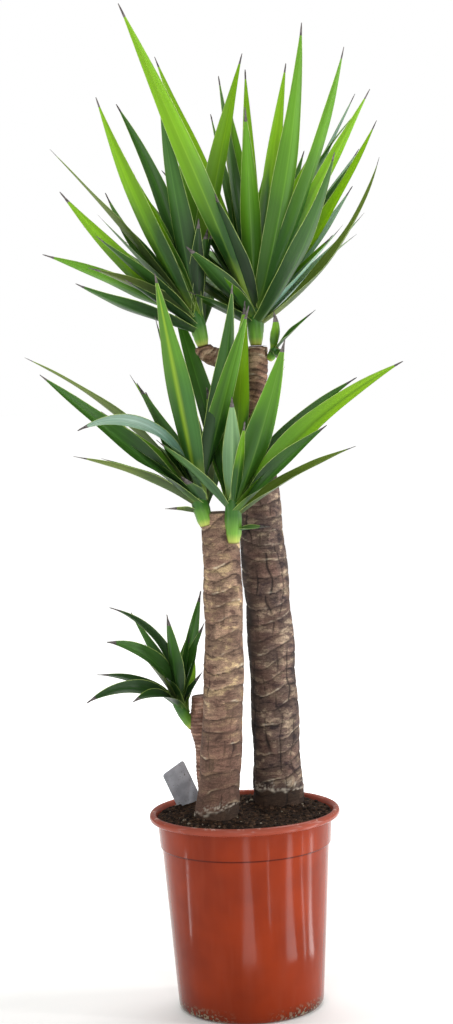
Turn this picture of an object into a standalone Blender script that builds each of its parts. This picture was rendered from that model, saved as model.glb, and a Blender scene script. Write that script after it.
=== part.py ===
"""Potted cane yucca: three bare canes of different heights in a nursery pot, with six shoots of sword leaves.

Metres, +Z up. The origin is the centre of the pot's flat underside. +X is to the right and +Y is away
from the side that is usually shown. Bearings go round from +X through +Y, and leans are from upright.
"""

import math
import random
from typing import NamedTuple

import bmesh
import bpy
from mathutils import Matrix, Vector
from mathutils.bvhtree import BVHTree

# The trade size of the pot is its rim, and the rest follows from it.
RIM_RADIUS = 0.135
POT_HEIGHT = 0.282
BASE_RADIUS = 0.1025
WALL = 0.0022
POT_SIDES = 40
RIM_HEIGHT = 0.011
RIM_LIP = 0.0105
COLLAR_TOP_RADIUS = 0.1236
COLLAR_FOOT_HEIGHT = 0.233
COLLAR_FOOT_RADIUS = 0.1208
COLLAR_STEP = 0.0026
BASE_ROUNDING = 0.010
BEAD_TURNS = (-50, -20, 10, 40, 65, 90, 120, 155)
DRAIN_HOLES = 8
DRAIN_RADIUS = 0.006
DRAIN_CIRCLE = 0.076
DRAIN_SIDES = 10

# Touching solids keep this far apart.
GAP = 0.0003

SOIL_TOP = 0.2755
GROUND = SOIL_TOP + GAP

# Every cane is wavy with old leaf scars, a shallow swelling at each growth ring.
CANE_SIDES = 16
RING_PITCH = 0.022
SWELL = 0.025
SWELL_PITCH = 0.105
FLARE = 0.07
FLARE_HEIGHT = 0.03
KNOB_REACH = 0.022

# A sword leaf: how far along it lie the rings of its solid, and the shape that they follow.
STATIONS = (0.0, 0.12, 0.28, 0.46, 0.62, 0.76, 0.89, 1.0)
NECK = 0.58
NECK_END = 0.34
TAPER_START = 0.46
TAPER_POWER = 1.32
THICKNESS = 0.011
LEAST_THICKNESS = 0.0035
ROOT_FOLD = 38.0
TIP_FOLD = 12.0
TURN_END = 0.4

# The leaves that the shown side hides fan out round the far side of each shoot.
GOLDEN = 0.618034
FAR_SPREAD = 150.0
REACH_LOSS = 0.25
INNER_LEAN = 14.0
OUTER_LEAN = 62.0
LEAF_WIDTH = 0.036
SWINGS = (0, 6, -6, 12, -12, 18, -18)
SPARE = 0.0008

STEM_SIDES = 12
STEM_PROFILE = ((0.18, 0.86), (0.5, 1.0), (0.8, 0.92))
STEM_FOOT = 0.62
STEM_TIP = 0.5
TOP_LEAF = 0.85


class Cane(NamedTuple):
    """A bare cane from its flat cut at the soil to its flat cut top, with a knob at one height and bearing."""

    name: str
    foot: tuple
    top: tuple
    foot_radius: float
    top_radius: float
    bulge: float
    phase: float
    knob: float = 0.0
    knob_height: float = 0.0
    knob_bearing: float = 0.0


class Limb(NamedTuple):
    """A woody side branch: where it starts, which way it leaves, where it ends and which way it points there."""

    name: str
    start: tuple
    leaves: tuple
    end: tuple
    points: tuple
    start_radius: float
    end_radius: float


class Leaf(NamedTuple):
    """One sword leaf: bow is how much further it leans at its tip, turn is the blade's turn about its midrib."""

    bearing: float
    lean: float
    bow: float
    length: float
    width: float
    turn: float = 0.0


class Shoot(NamedTuple):
    """A head of leaves on a short stem: those of its shown side, and how many fan out behind and which way."""

    name: str
    foot: tuple
    bearing: float
    lean: float
    height: float
    radius: float
    socket: str
    shown: tuple
    hidden: int
    away: float
    reach: float
    seed: int


CANES = (
    Cane("cane_tall", (0.050, 0.052), (0.0300, 0.052, 0.800), 0.0345, 0.0305, 0.0062, 0.0),
    Cane("cane_mid", (-0.039, -0.030), (-0.0185, -0.030, 0.706), 0.0292, 0.0256, 0.0078, 1.9),
    Cane("cane_short", (-0.0455, 0.032), (-0.0500, 0.032, 0.440), 0.0185, 0.0180, 0.0, 4.1, 0.0075, 0.124, 190),
)

HEAD_FOOT = (0.031, 0.050, 0.800 + GAP)
HEAD_TOP = (0.042, 0.046, 0.934)
ARM_START = (0.0237, 0.0470, 0.917)
ARM_END = (-0.033, 0.034, 0.936)
LIMBS = (
    Limb("head_tall", HEAD_FOOT, (0, 0, 1), HEAD_TOP, (0, 0, 1), 0.0185, 0.0155),
    Limb("arm_tall", ARM_START, (-1, -0.15, 0), ARM_END, (-0.25, -0.1, 1), 0.0150, 0.0120),
)

TALL_LEFT_LEAVES = (
    Leaf(205, 30, -12, 0.343, 0.032, 40),
    Leaf(150, 10, 22, 0.332, 0.029, -45),
    Leaf(178, 35, 6, 0.321, 0.030, 15),
    Leaf(200, 51, -12, 0.275, 0.029, 60),
    Leaf(165, 44, -21, 0.235, 0.023, -45),
    Leaf(190, 54, 17, 0.244, 0.031, 45),
    Leaf(215, 73, -7, 0.215, 0.034, 25),
    Leaf(130, 31, 0, 0.260, 0.028),
    Leaf(245, 17, 0, 0.305, 0.037),
    Leaf(110, 7, 0, 0.275, 0.034),
    Leaf(14, 9, 7, 0.376, 0.038, 45),
    Leaf(281, 18, 0, 0.146, 0.026),
)
TALL_TOP_LEAVES = (
    Leaf(235, 32, 6, 0.502, 0.035, 40),
    Leaf(125, 30, 0, 0.459, 0.040),
    Leaf(267, 14, 4, 0.293, 0.032),
    Leaf(75, 29, 8, 0.462, 0.030, 30),
    Leaf(305, 29, -21, 0.419, 0.037, -15),
    Leaf(325, 32, -16, 0.400, 0.034, -15),
    Leaf(8, 25, 3, 0.347, 0.025, 25),
    Leaf(335, 30, 2, 0.358, 0.034, -30),
    Leaf(305, 56, -31, 0.303, 0.038),
    Leaf(345, 41, -14, 0.329, 0.032, 50),
    Leaf(35, 47, -8, 0.270, 0.024, 20),
    Leaf(358, 60, -44, 0.304, 0.032, 20),
    Leaf(20, 45, 0, 0.175, 0.026, 20),
    Leaf(111, 17, 0, 0.365, 0.021),
    Leaf(117, 21, 0, 0.318, 0.020),
    Leaf(90, 9, 0, 0.352, 0.026),
)
TALL_RIGHT_LEAVES = (
    Leaf(340, 44, 8, 0.087, 0.018, 30),
    Leaf(320, 32, -60, 0.060, 0.024),
    Leaf(285, 60, 100, 0.045, 0.018),
)
MID_LEFT_LEAVES = (
    Leaf(170, 34, 29, 0.325, 0.030, 30),
    Leaf(205, 48, 3, 0.300, 0.040, -60),
    Leaf(222, 15, 95, 0.263, 0.034, -50),
    Leaf(190, 53, 23, 0.195, 0.028, 25),
    Leaf(185, 70, 16, 0.054, 0.018, 25),
    Leaf(230, 40, 0, 0.060, 0.034),
    Leaf(140, 34, -7, 0.184, 0.026, -30),
    Leaf(241, 17, 0, 0.326, 0.042, 10),
    Leaf(334, 19, -14, 0.303, 0.036, -45),
    Leaf(335, 17, 2, 0.279, 0.034, -45),
    Leaf(155, 12.5, 0, 0.262, 0.030),
)
MID_RIGHT_LEAVES = (
    Leaf(115, 27, 8, 0.360, 0.036),
    Leaf(200, 39, 10, 0.155, 0.026, 20),
    Leaf(70, 16, 0, 0.296, 0.040),
    Leaf(273, 20, 10, 0.173, 0.030),
    Leaf(285, 31, 0, 0.150, 0.017),
    Leaf(312, 32, -12, 0.263, 0.042, -30),
    Leaf(337, 37, 28, 0.327, 0.035, 75),
    Leaf(15, 30, 32, 0.261, 0.028, 45),
    Leaf(320, 46, 13, 0.211, 0.035, 65),
    Leaf(352, 51, 19, 0.199, 0.030, 25),
    Leaf(30, 44, 20, 0.090, 0.028),
    Leaf(345, 81, 5, 0.053, 0.018, 15),
)
SHORT_LEAVES = (
    Leaf(170, -6, 80, 0.178, 0.020, -35),
    Leaf(140, 31, 5, 0.162, 0.030, 5),
    Leaf(253, 12, 6, 0.140, 0.028, -20),
    Leaf(60, 22, 4, 0.174, 0.022, 40),
    Leaf(215, 15, 66, 0.165, 0.034, -60),
    Leaf(183, 41, 46, 0.137, 0.026, -25),
    Leaf(210, 40, 78, 0.166, 0.026, -55),
    Leaf(235, 44, 60, 0.125, 0.027, -30),
    Leaf(26, 32, 6, 0.063, 0.022),
)

SHOOTS = (
    Shoot(
        "shoot_tall_top",
        HEAD_TOP[:2] + (HEAD_TOP[2] + GAP,),
        0, 0, 0.058, 0.0125,
        "",
        TALL_TOP_LEAVES,
        13, 80, 0.34, 165,
    ),
    Shoot(
        "shoot_tall_left",
        (-0.0331, 0.034, 0.9368),
        200, 12, 0.052, 0.0120,
        "",
        TALL_LEFT_LEAVES,
        9, 135, 0.27, 117,
    ),
    Shoot(
        "shoot_mid_right",
        (-0.0005, -0.0535, 0.6645),
        283, 4.8, 0.0666, 0.0125,
        "cane_mid",
        MID_RIGHT_LEAVES,
        8, 45, 0.25, 47,
    ),
    Shoot(
        "shoot_mid_left",
        (-0.0377, -0.0465, 0.6885),
        160, 14, 0.0495, 0.0125,
        "cane_mid",
        MID_LEFT_LEAVES,
        9, 135, 0.25, 422,
    ),
    Shoot(
        "shoot_tall_right",
        (0.060, 0.040, 0.914),
        320, 40, 0.022, 0.0070,
        "head_tall",
        TALL_RIGHT_LEAVES,
        0, 0, 0.0, 0,
    ),
    Shoot(
        "shoot_short",
        (-0.0700, 0.029, 0.3960),
        199, 29.4, 0.0500, 0.0085,
        "cane_short",
        SHORT_LEAVES,
        5, 105, 0.13, 137,
    ),
)

TAG_WIDTH = 0.038
TAG_LENGTH = 0.069
TAG_THICKNESS = 0.0012
TAG_CORNER = 0.004
TAG_FOOT = (-0.078, 0.072)
TAG_UP = (-0.32, -0.375, 0.86)
TAG_ACROSS = (0.80, 0.40, 0.45)

COLOURS = {
    "pot": ((0.33, 0.075, 0.035), 0.32),
    "soil": ((0.035, 0.022, 0.015), 0.95),
    "bark": ((0.24, 0.165, 0.125), 0.85),
    "leaf": ((0.095, 0.20, 0.03), 0.42),
    "tag": ((0.33, 0.34, 0.37), 0.5),
}


def clear_scene():
    """Removes whatever the file opened with."""
    for thing in list(bpy.data.objects):
        bpy.data.objects.remove(thing, do_unlink=True)


def material(name):
    """The Principled material of one kind of surface."""
    found = bpy.data.materials.get(name)
    if found:
        return found
    colour, roughness = COLOURS[name]
    made = bpy.data.materials.new(name)
    made.use_nodes = True
    shader = made.node_tree.nodes["Principled BSDF"]
    shader.inputs["Base Color"].default_value = (*colour, 1.0)
    shader.inputs["Roughness"].default_value = roughness
    shader.inputs["Metallic"].default_value = 0.0
    return made


def finish(bm, name, surface, smooth_angle=40.0):
    """Turns a bmesh into a named object with its normals outwards."""
    bmesh.ops.recalc_face_normals(bm, faces=bm.faces)
    mesh = bpy.data.meshes.new(name)
    bm.to_mesh(mesh)
    bm.free()
    mesh.materials.append(material(surface))
    mesh.shade_smooth()
    mesh.set_sharp_from_angle(angle=math.radians(smooth_angle))
    thing = bpy.data.objects.new(name, mesh)
    bpy.context.scene.collection.objects.link(thing)
    return thing


def direction(bearing, lean):
    """The unit vector that leans this far from upright towards a bearing, both in degrees."""
    around, down = math.radians(bearing), math.radians(lean)
    return Vector((math.sin(down) * math.cos(around), math.sin(down) * math.sin(around), math.cos(down)))


def apply_boolean(target, operation, operand):
    """Joins or cuts target with an object or a collection, and makes the result its mesh."""
    step = target.modifiers.new(operation.lower(), "BOOLEAN")
    step.operation = operation
    step.solver = "MANIFOLD"
    if isinstance(operand, bpy.types.Collection):
        step.operand_type = "COLLECTION"
        step.collection = operand
    else:
        step.object = operand
    graph = bpy.context.evaluated_depsgraph_get()
    result = bpy.data.meshes.new_from_object(target.evaluated_get(graph))
    target.modifiers.clear()
    target.data = result
    result.name = target.name


def remove(thing):
    """Deletes a helper object."""
    bpy.data.objects.remove(thing, do_unlink=True)


def revolve(bm, profile, sides):
    """Spins a profile of (radius, height) points round the Z axis. Its ends lie on the axis."""
    points = [bm.verts.new((radius, 0, height)) for radius, height in profile]
    edges = [bm.edges.new(pair) for pair in zip(points, points[1:])]
    bmesh.ops.spin(
        bm,
        geom=points + edges,
        cent=(0, 0, 0),
        axis=(0, 0, 1),
        angle=math.tau,
        steps=sides,
        use_merge=True,
        use_duplicate=False,
    )
    bmesh.ops.remove_doubles(bm, verts=bm.verts, dist=1e-6)


def tube(bm, rings, sides):
    """Adds a closed tube through rings of (centre, axis, radius), capped flat at both ends."""
    loops = []
    for centre, axis, radius in rings:
        place = Matrix.Translation(centre) @ axis.to_track_quat("Z", "Y").to_matrix().to_4x4()
        corners = [
            place @ Vector((radius * math.cos(turn), radius * math.sin(turn), 0))
            for turn in (math.tau * side / sides for side in range(sides))
        ]
        loops.append([bm.verts.new(corner) for corner in corners])
    for lower, upper in zip(loops, loops[1:]):
        for side in range(sides):
            after = (side + 1) % sides
            bm.faces.new((lower[side], lower[after], upper[after], upper[side]))
    bm.faces.new(reversed(loops[0]))
    bm.faces.new(loops[-1])


def wall_radius(height):
    """The pot's outer radius at a height, from its base to the top of its collar."""
    if height <= COLLAR_FOOT_HEIGHT:
        share = height / COLLAR_FOOT_HEIGHT
        return BASE_RADIUS + share * (COLLAR_FOOT_RADIUS - COLLAR_STEP - BASE_RADIUS)
    share = (height - COLLAR_FOOT_HEIGHT) / (POT_HEIGHT - RIM_HEIGHT - COLLAR_FOOT_HEIGHT)
    return COLLAR_FOOT_RADIUS + share * (COLLAR_TOP_RADIUS - COLLAR_FOOT_RADIUS)


def inner_wall(lowest, highest, clearance):
    """The inner wall's (radius, height) points from its floor to a height, moved inwards by a clearance."""
    step = COLLAR_FOOT_HEIGHT
    inset = WALL + clearance
    return [
        (BASE_RADIUS - BASE_ROUNDING - clearance, lowest),
        (wall_radius(BASE_ROUNDING) - inset, BASE_ROUNDING),
        (wall_radius(step) - inset, step),
        (wall_radius(step + COLLAR_STEP) - inset, step + COLLAR_STEP),
        (wall_radius(highest) - inset, highest),
    ]


def bead_point(turn):
    """The (radius, height) point of the rolled rim at a turn in degrees round its own middle."""
    around = math.radians(turn)
    return (
        RIM_RADIUS - RIM_LIP / 2 * (1 - math.cos(around)),
        POT_HEIGHT - RIM_HEIGHT / 2 * (1 - math.sin(around)),
    )


def pot():
    """The moulded pot: plain foot, tapering body, stepped collar and rolled rim, with drain holes in its base."""
    under_rim = POT_HEIGHT - RIM_HEIGHT
    bead = [bead_point(turn) for turn in BEAD_TURNS]
    outer = [
        (0, 0),
        (DRAIN_CIRCLE, 0),
        *(
            (
                BASE_RADIUS - BASE_ROUNDING * (1 - math.sin(turn)),
                BASE_ROUNDING * (1 - math.cos(turn)),
            )
            for turn in (math.radians(angle) for angle in (0, 30, 60))
        ),
        (wall_radius(BASE_ROUNDING), BASE_ROUNDING),
        (wall_radius(COLLAR_FOOT_HEIGHT), COLLAR_FOOT_HEIGHT),
        (COLLAR_FOOT_RADIUS, COLLAR_FOOT_HEIGHT + COLLAR_STEP / 2),
        (COLLAR_TOP_RADIUS, under_rim),
    ]
    inner = list(reversed(inner_wall(WALL, under_rim, 0)))
    bm = bmesh.new()
    revolve(bm, outer + bead + inner + [(0, WALL)], POT_SIDES)
    shell = finish(bm, "pot", "pot", 30.0)
    drill = bmesh.new()
    for hole in range(DRAIN_HOLES):
        turn = math.tau * (hole + 0.5) / DRAIN_HOLES
        centre = Vector((DRAIN_CIRCLE * math.cos(turn), DRAIN_CIRCLE * math.sin(turn), 0))
        rise = Vector((0, 0, 2 * WALL))
        tube(drill, [(centre - rise, rise, DRAIN_RADIUS), (centre + rise, rise, DRAIN_RADIUS)], DRAIN_SIDES)
    cutter = finish(drill, "drain_cutter", "pot")
    apply_boolean(shell, "DIFFERENCE", cutter)
    remove(cutter)
    return shell


def soil():
    """The compost that fills the pot, level where the canes come out of it."""
    floor = WALL + GAP
    under_rim = POT_HEIGHT - RIM_HEIGHT
    sides = inner_wall(floor, under_rim, GAP)
    throat, lip = sides[-1][0], bead_point(BEAD_TURNS[-1])
    edge = throat + (lip[0] - GAP - throat) * (SOIL_TOP - under_rim) / (lip[1] - under_rim) - GAP
    bm = bmesh.new()
    revolve(bm, [(0, floor)] + sides + [(edge, SOIL_TOP), (0, SOIL_TOP)], POT_SIDES)
    return finish(bm, "soil", "soil")


def knob_growth(cane, share):
    """Half of how far a cane's knob stands out there: it shifts the middle and widens the ring by this."""
    off = (share * (cane.top[2] - GROUND) - cane.knob_height) / KNOB_REACH
    return cane.knob / 2 * math.exp(-off * off)


def cane_point(cane, share):
    """The middle of a cane at a share of its height."""
    foot = Vector((*cane.foot, GROUND))
    top = Vector(cane.top)
    aside = Vector((cane.bulge * math.sin(math.pi * share), 0, 0))
    return foot.lerp(top, share) + aside + direction(cane.knob_bearing, 90) * knob_growth(cane, share)


def cane_radius(cane, share):
    """A cane's radius there: its taper, the flare at the soil and the swellings of its growth."""
    height = share * (cane.top[2] - GROUND)
    taper = cane.foot_radius + share * (cane.top_radius - cane.foot_radius)
    swelling = SWELL * math.sin(math.tau * height / SWELL_PITCH + cane.phase)
    flare = FLARE * math.exp(-height / FLARE_HEIGHT)
    return taper * (1 + swelling + flare) + knob_growth(cane, share)


def cane(shape):
    """One cane, as level rings from the soil to its cut top."""
    steps = round((shape.top[2] - GROUND) / RING_PITCH)
    upright = Vector((0, 0, 1))
    rings = [
        (cane_point(shape, step / steps), upright, cane_radius(shape, step / steps))
        for step in range(steps + 1)
    ]
    bm = bmesh.new()
    tube(bm, rings, CANE_SIDES)
    return finish(bm, shape.name, "bark")


def limb(shape):
    """One woody branch along a smooth curve between its two ends."""
    start, end = Vector(shape.start), Vector(shape.end)
    pull = (end - start).length
    leaving = Vector(shape.leaves).normalized() * pull
    arriving = Vector(shape.points).normalized() * pull
    steps = 8
    rings = []
    for step in range(steps + 1):
        t = step / steps
        centre = (
            (2 * t**3 - 3 * t**2 + 1) * start
            + (t**3 - 2 * t**2 + t) * leaving
            + (3 * t**2 - 2 * t**3) * end
            + (t**3 - t**2) * arriving
        )
        axis = (
            (6 * t**2 - 6 * t) * start
            + (3 * t**2 - 4 * t + 1) * leaving
            + (6 * t - 6 * t**2) * end
            + (3 * t**2 - 2 * t) * arriving
        )
        radius = shape.start_radius + t * (shape.end_radius - shape.start_radius)
        rings.append((centre, axis.normalized(), radius))
    bm = bmesh.new()
    tube(bm, rings, STEM_SIDES)
    return finish(bm, shape.name, "bark")


def breadth(along):
    """The share of its full width that a leaf has at a share of its length."""
    if along > TAPER_START:
        left = (1 - along) / (1 - TAPER_START)
        return 1 - (1 - left) ** TAPER_POWER
    rise = min(1.0, along / NECK_END)
    return NECK + (1 - NECK) * rise * rise * (3 - 2 * rise)


def leaf_frame(leaf, along):
    """The way a leaf runs there, and the ways across it and out of its upper face."""
    run = direction(leaf.bearing, leaf.lean + leaf.bow * along)
    side = direction(leaf.bearing + 90, 90)
    turn = math.radians(leaf.turn) * min(1.0, along / TURN_END)
    spin = Matrix.Rotation(turn, 3, run)
    return run, spin @ side, spin @ run.cross(side)


def blade(bm, root, leaf):
    """Adds one leaf as a closed folded blade that runs out to a point."""
    thick = max(THICKNESS * leaf.length, LEAST_THICKNESS)
    point, before = root.copy(), 0.0
    rings = []
    for along in STATIONS:
        middle = (before + along) / 2
        point = point + direction(leaf.bearing, leaf.lean + leaf.bow * middle) * leaf.length * (along - before)
        before = along
        _, side, up = leaf_frame(leaf, along)
        half = leaf.width / 2 * breadth(along)
        fold = math.radians(ROOT_FOLD + along * (TIP_FOLD - ROOT_FOLD))
        out, rise = half * math.cos(fold), half * math.sin(fold)
        if along < 1.0:
            corners = (
                point + side * out + up * rise,
                point + up * thick / 2,
                point - side * out + up * rise,
                point - up * thick / 2,
            )
            rings.append([bm.verts.new(corner) for corner in corners])
    tip = bm.verts.new(point)
    sides = len(rings[0])
    for lower, upper in zip(rings, rings[1:]):
        for corner in range(sides):
            after = (corner + 1) % sides
            bm.faces.new((lower[corner], lower[after], upper[after], upper[corner]))
    bm.faces.new(reversed(rings[0]))
    for corner in range(sides):
        bm.faces.new((rings[-1][corner], rings[-1][(corner + 1) % sides], tip))


def stem_rings(shoot, growth):
    """The rings of a shoot's stem, made wider and started lower by a growth."""
    axis = direction(shoot.bearing, shoot.lean)
    foot = Vector(shoot.foot)
    return [
        (foot - axis * growth, axis, shoot.radius * STEM_FOOT + growth),
        *(
            (foot + axis * shoot.height * along, axis, shoot.radius * share + growth)
            for along, share in STEM_PROFILE
        ),
        (foot + axis * (shoot.height + growth), axis, shoot.radius * STEM_TIP + growth),
    ]


def leaf_root(shoot, leaf):
    """Where a leaf comes out of its stem: upright leaves at the top, spreading ones further down."""
    share = TOP_LEAF * (1 - 0.8 * leaf.lean / 90)
    return Vector(shoot.foot) + direction(shoot.bearing, shoot.lean) * shoot.height * share


def hidden_leaves(shoot):
    """The leaves round a shoot's far side, from its upright middle to its spreading skirt."""
    chance = random.Random(shoot.seed)
    first = chance.random()
    for number in range(shoot.hidden):
        rank = (number + 0.5) / shoot.hidden
        swing = (first + number * GOLDEN) % 1.0 - 0.5
        yield Leaf(
            shoot.away + FAR_SPREAD * swing,
            INNER_LEAN + rank * (OUTER_LEAN - INNER_LEAN),
            chance.uniform(0, 28),
            shoot.reach * chance.uniform(0.8, 1.0) * (1 - REACH_LOSS * rank),
            LEAF_WIDTH * chance.uniform(0.85, 1.1),
            chance.uniform(-30, 30),
        )


def tree_of(thing, spare=0.0):
    """A search tree of an object's faces, moved outwards by a spare distance."""
    points = [vertex.co + vertex.normal * spare for vertex in thing.data.vertices]
    return BVHTree.FromPolygons(points, [face.vertices for face in thing.data.polygons])


def clear_leaf(shoot, leaf, name, taken):
    """The leaf as an object, swung aside where it would touch another piece, or None where no swing clears it."""
    for swing in SWINGS:
        swung = leaf._replace(bearing=leaf.bearing + swing)
        bm = bmesh.new()
        blade(bm, leaf_root(shoot, swung), swung)
        made = finish(bm, name, "leaf")
        tree = tree_of(made, SPARE)
        if not any(owner != shoot.name and tree.overlap(other) for owner, other in taken):
            return made
        remove(made)
    return None


def grow(shoot, leaves, first, taken):
    """The objects of those leaves that keep clear of the other pieces. It adds each to the places taken."""
    grown = []
    for number, leaf in enumerate(leaves, first):
        made = clear_leaf(shoot, leaf, f"{shoot.name}_leaf_{number}", taken)
        if made:
            grown.append(made)
            taken.append((shoot.name, tree_of(made)))
    return grown


def fill_pockets(thing):
    """Deletes the inner walls of any pocket that crossing leaves shut in, which leaves it solid there."""
    bm = bmesh.new()
    bm.from_mesh(thing.data)
    bmesh.ops.triangulate(bm, faces=bm.faces)
    waiting = set(bm.faces)
    while waiting:
        island, edge_on = set(), [waiting.pop()]
        while edge_on:
            face = edge_on.pop()
            island.add(face)
            for edge in face.edges:
                for other in edge.link_faces:
                    if other in waiting:
                        waiting.discard(other)
                        edge_on.append(other)
        near = next(iter(island)).verts[0].co.copy()
        corners = [[vertex.co - near for vertex in face.verts] for face in island]
        if sum(a.dot(b.cross(c)) for a, b, c in corners) < 0:
            bmesh.ops.delete(bm, geom=list(island), context="FACES")
    bm.to_mesh(thing.data)
    bm.free()


def fuse(stem, grown):
    """Joins the leaves to their stem and deletes them."""
    leaves = bpy.data.collections.new(stem.name + "_leaves")
    bpy.context.scene.collection.children.link(leaves)
    for made in grown:
        bpy.context.scene.collection.objects.unlink(made)
        leaves.objects.link(made)
    apply_boolean(stem, "UNION", leaves)
    for made in grown:
        remove(made)
    bpy.data.collections.remove(leaves)
    fill_pockets(stem)


def stem(shoot):
    """The short stem that a shoot's leaves grow from."""
    bm = bmesh.new()
    tube(bm, stem_rings(shoot, 0), STEM_SIDES)
    return finish(bm, shoot.name, "leaf")


def cut_socket(shoot, wood):
    """Cuts the seat of a shoot's stem into the wood that it grows from."""
    bm = bmesh.new()
    tube(bm, stem_rings(shoot, GAP), STEM_SIDES)
    cutter = finish(bm, "socket_cutter", "bark")
    apply_boolean(wood, "DIFFERENCE", cutter)
    remove(cutter)


def tag():
    """The bare plastic plant tag that leans back in the soil, cut level where it goes in."""
    up, across = Vector(TAG_UP).normalized(), Vector(TAG_ACROSS).normalized()
    face = across.cross(up).normalized()
    across = up.cross(face)
    turn = Matrix((across, face, up)).transposed().to_4x4()
    middle = Vector((*TAG_FOOT, GROUND)) + up * TAG_LENGTH / 2
    size = Matrix.Diagonal((TAG_WIDTH, TAG_THICKNESS, TAG_LENGTH * 1.4, 1))
    bm = bmesh.new()
    bmesh.ops.create_cube(bm, size=1, matrix=size)
    top = [
        edge
        for edge in bm.edges
        if all(vertex.co.z > 0 for vertex in edge.verts)
        and abs(edge.verts[0].co.x - edge.verts[1].co.x) < TAG_CORNER
    ]
    bmesh.ops.bevel(bm, geom=top, offset=TAG_CORNER, segments=3, profile=0.5, affect="EDGES", material=-1)
    shift = Matrix.Translation(middle - up * TAG_LENGTH * 0.2)
    bmesh.ops.transform(bm, matrix=shift @ turn, verts=bm.verts)
    everything = list(bm.verts) + list(bm.edges) + list(bm.faces)
    cut = bmesh.ops.bisect_plane(
        bm, geom=everything, plane_co=(0, 0, GROUND), plane_no=(0, 0, 1), clear_inner=True
    )
    rim = [item for item in cut["geom_cut"] if isinstance(item, bmesh.types.BMEdge)]
    bmesh.ops.contextual_create(bm, geom=rim)
    return finish(bm, "tag", "tag")


def build():
    """Makes every piece. The shown leaves of every shoot take their places before the hidden ones fill in."""
    clear_scene()
    pot()
    soil()
    wood = {shape.name: cane(shape) for shape in CANES}
    wood |= {shape.name: limb(shape) for shape in LIMBS}
    for shoot in SHOOTS:
        if shoot.socket:
            cut_socket(shoot, wood[shoot.socket])
    stems = {shoot.name: stem(shoot) for shoot in SHOOTS}
    taken = [(name, tree_of(thing)) for name, thing in (wood | stems).items()]
    grown = {shoot.name: grow(shoot, shoot.shown, 0, taken) for shoot in SHOOTS}
    for shoot in SHOOTS:
        grown[shoot.name] += grow(shoot, hidden_leaves(shoot), len(shoot.shown), taken)
    for shoot in SHOOTS:
        fuse(stems[shoot.name], grown[shoot.name])
    tag()


build()
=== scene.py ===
"""Potted cane yucca: the fine surface and finish of every piece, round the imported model.

Metres, +Z up, in the model's own frame: the origin is the centre of the pot's flat underside, +X is to
the right and +Y is away from the camera. Bearings go round from +X through +Y, leans are from upright.
"""

import logging
import math
import random
from dataclasses import dataclass
from enum import Enum
from typing import Any, Iterator, NamedTuple, Optional

import bmesh
import bpy
from mathutils import Matrix, Vector, noise
from mathutils.bvhtree import BVHTree


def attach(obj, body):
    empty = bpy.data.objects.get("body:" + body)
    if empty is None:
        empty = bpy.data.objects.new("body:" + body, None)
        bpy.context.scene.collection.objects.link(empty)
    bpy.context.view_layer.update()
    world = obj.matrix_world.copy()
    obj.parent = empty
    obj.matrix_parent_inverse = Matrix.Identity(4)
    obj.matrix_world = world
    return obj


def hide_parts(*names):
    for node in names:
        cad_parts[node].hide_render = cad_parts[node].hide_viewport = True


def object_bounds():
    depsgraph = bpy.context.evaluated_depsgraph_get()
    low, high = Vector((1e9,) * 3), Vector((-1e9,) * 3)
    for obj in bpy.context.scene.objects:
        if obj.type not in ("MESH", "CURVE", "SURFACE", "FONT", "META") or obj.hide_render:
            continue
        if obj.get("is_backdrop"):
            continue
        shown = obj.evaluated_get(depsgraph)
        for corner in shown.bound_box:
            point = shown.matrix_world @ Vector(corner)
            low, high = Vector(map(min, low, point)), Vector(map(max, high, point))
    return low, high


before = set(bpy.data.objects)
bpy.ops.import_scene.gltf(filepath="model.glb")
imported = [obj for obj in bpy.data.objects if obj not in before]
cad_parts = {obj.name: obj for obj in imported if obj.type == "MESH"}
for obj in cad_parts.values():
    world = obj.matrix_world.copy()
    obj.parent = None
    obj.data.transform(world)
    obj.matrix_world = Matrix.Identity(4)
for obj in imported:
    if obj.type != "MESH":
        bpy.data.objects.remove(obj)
CAD_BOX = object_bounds()
BODY = "root"

LOG = logging.getLogger("yucca")

# The canes stand on the compost, and touching solids of the model keep the gap between them.
GAP = 0.0003
SOIL_TOP = 0.2755
GROUND = SOIL_TOP + GAP

# How a sword leaf is shaped: the same rule and sizes as the model's own leaves.
NECK = 0.58
NECK_END = 0.34
TAPER_START = 0.46
TAPER_POWER = 1.32
ROOT_FOLD = 38.0
TIP_FOLD = 12.0
TURN_END = 0.4
TOP_LEAF = 0.85
LEAN_DROP = 0.8
# The stem's radius, as a share of its widest, at shares of its height.
STEM_PROFILE = ((0.0, 0.62), (0.18, 0.86), (0.5, 1.0), (0.8, 0.92), (1.0, 0.5))

# The leaves that the shown side hides, by the model's rule.
GOLDEN = 0.618034
FAR_SPREAD = 150.0
REACH_LOSS = 0.25
INNER_LEAN = 14.0
OUTER_LEAN = 62.0
LEAF_WIDTH = 0.036
SWINGS = (0, 6, -6, 12, -12, 18, -18)
FAR_BOWS = (0, 28)
FAR_REACHES = (0.8, 1.0)
FAR_WIDTHS = (0.85, 1.1)
FAR_TURNS = (-30, 30)

WHITE = (1.0, 1.0, 1.0, 1.0)
# Points that belong together after a grid is rolled up lie closer than this.
SEAM = 1e-6
# No edge turns by more degrees than this.
ALL_SMOOTH = 180.0


def linear(colour: str) -> tuple[float, float, float, float]:
    """Turns an sRGB hex colour into Blender's linear RGBA.

    Args:
        colour: Six hex digits after a hash sign.

    Returns:
        The linear red, green and blue, and an alpha of 1.
    """
    shares = [int(colour[place:place + 2], 16) / 255 for place in (1, 3, 5)]
    red, green, blue = (
        share / 12.92 if share <= 0.04045 else ((share + 0.055) / 1.055) ** 2.4 for share in shares
    )
    return red, green, blue, 1.0


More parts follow.
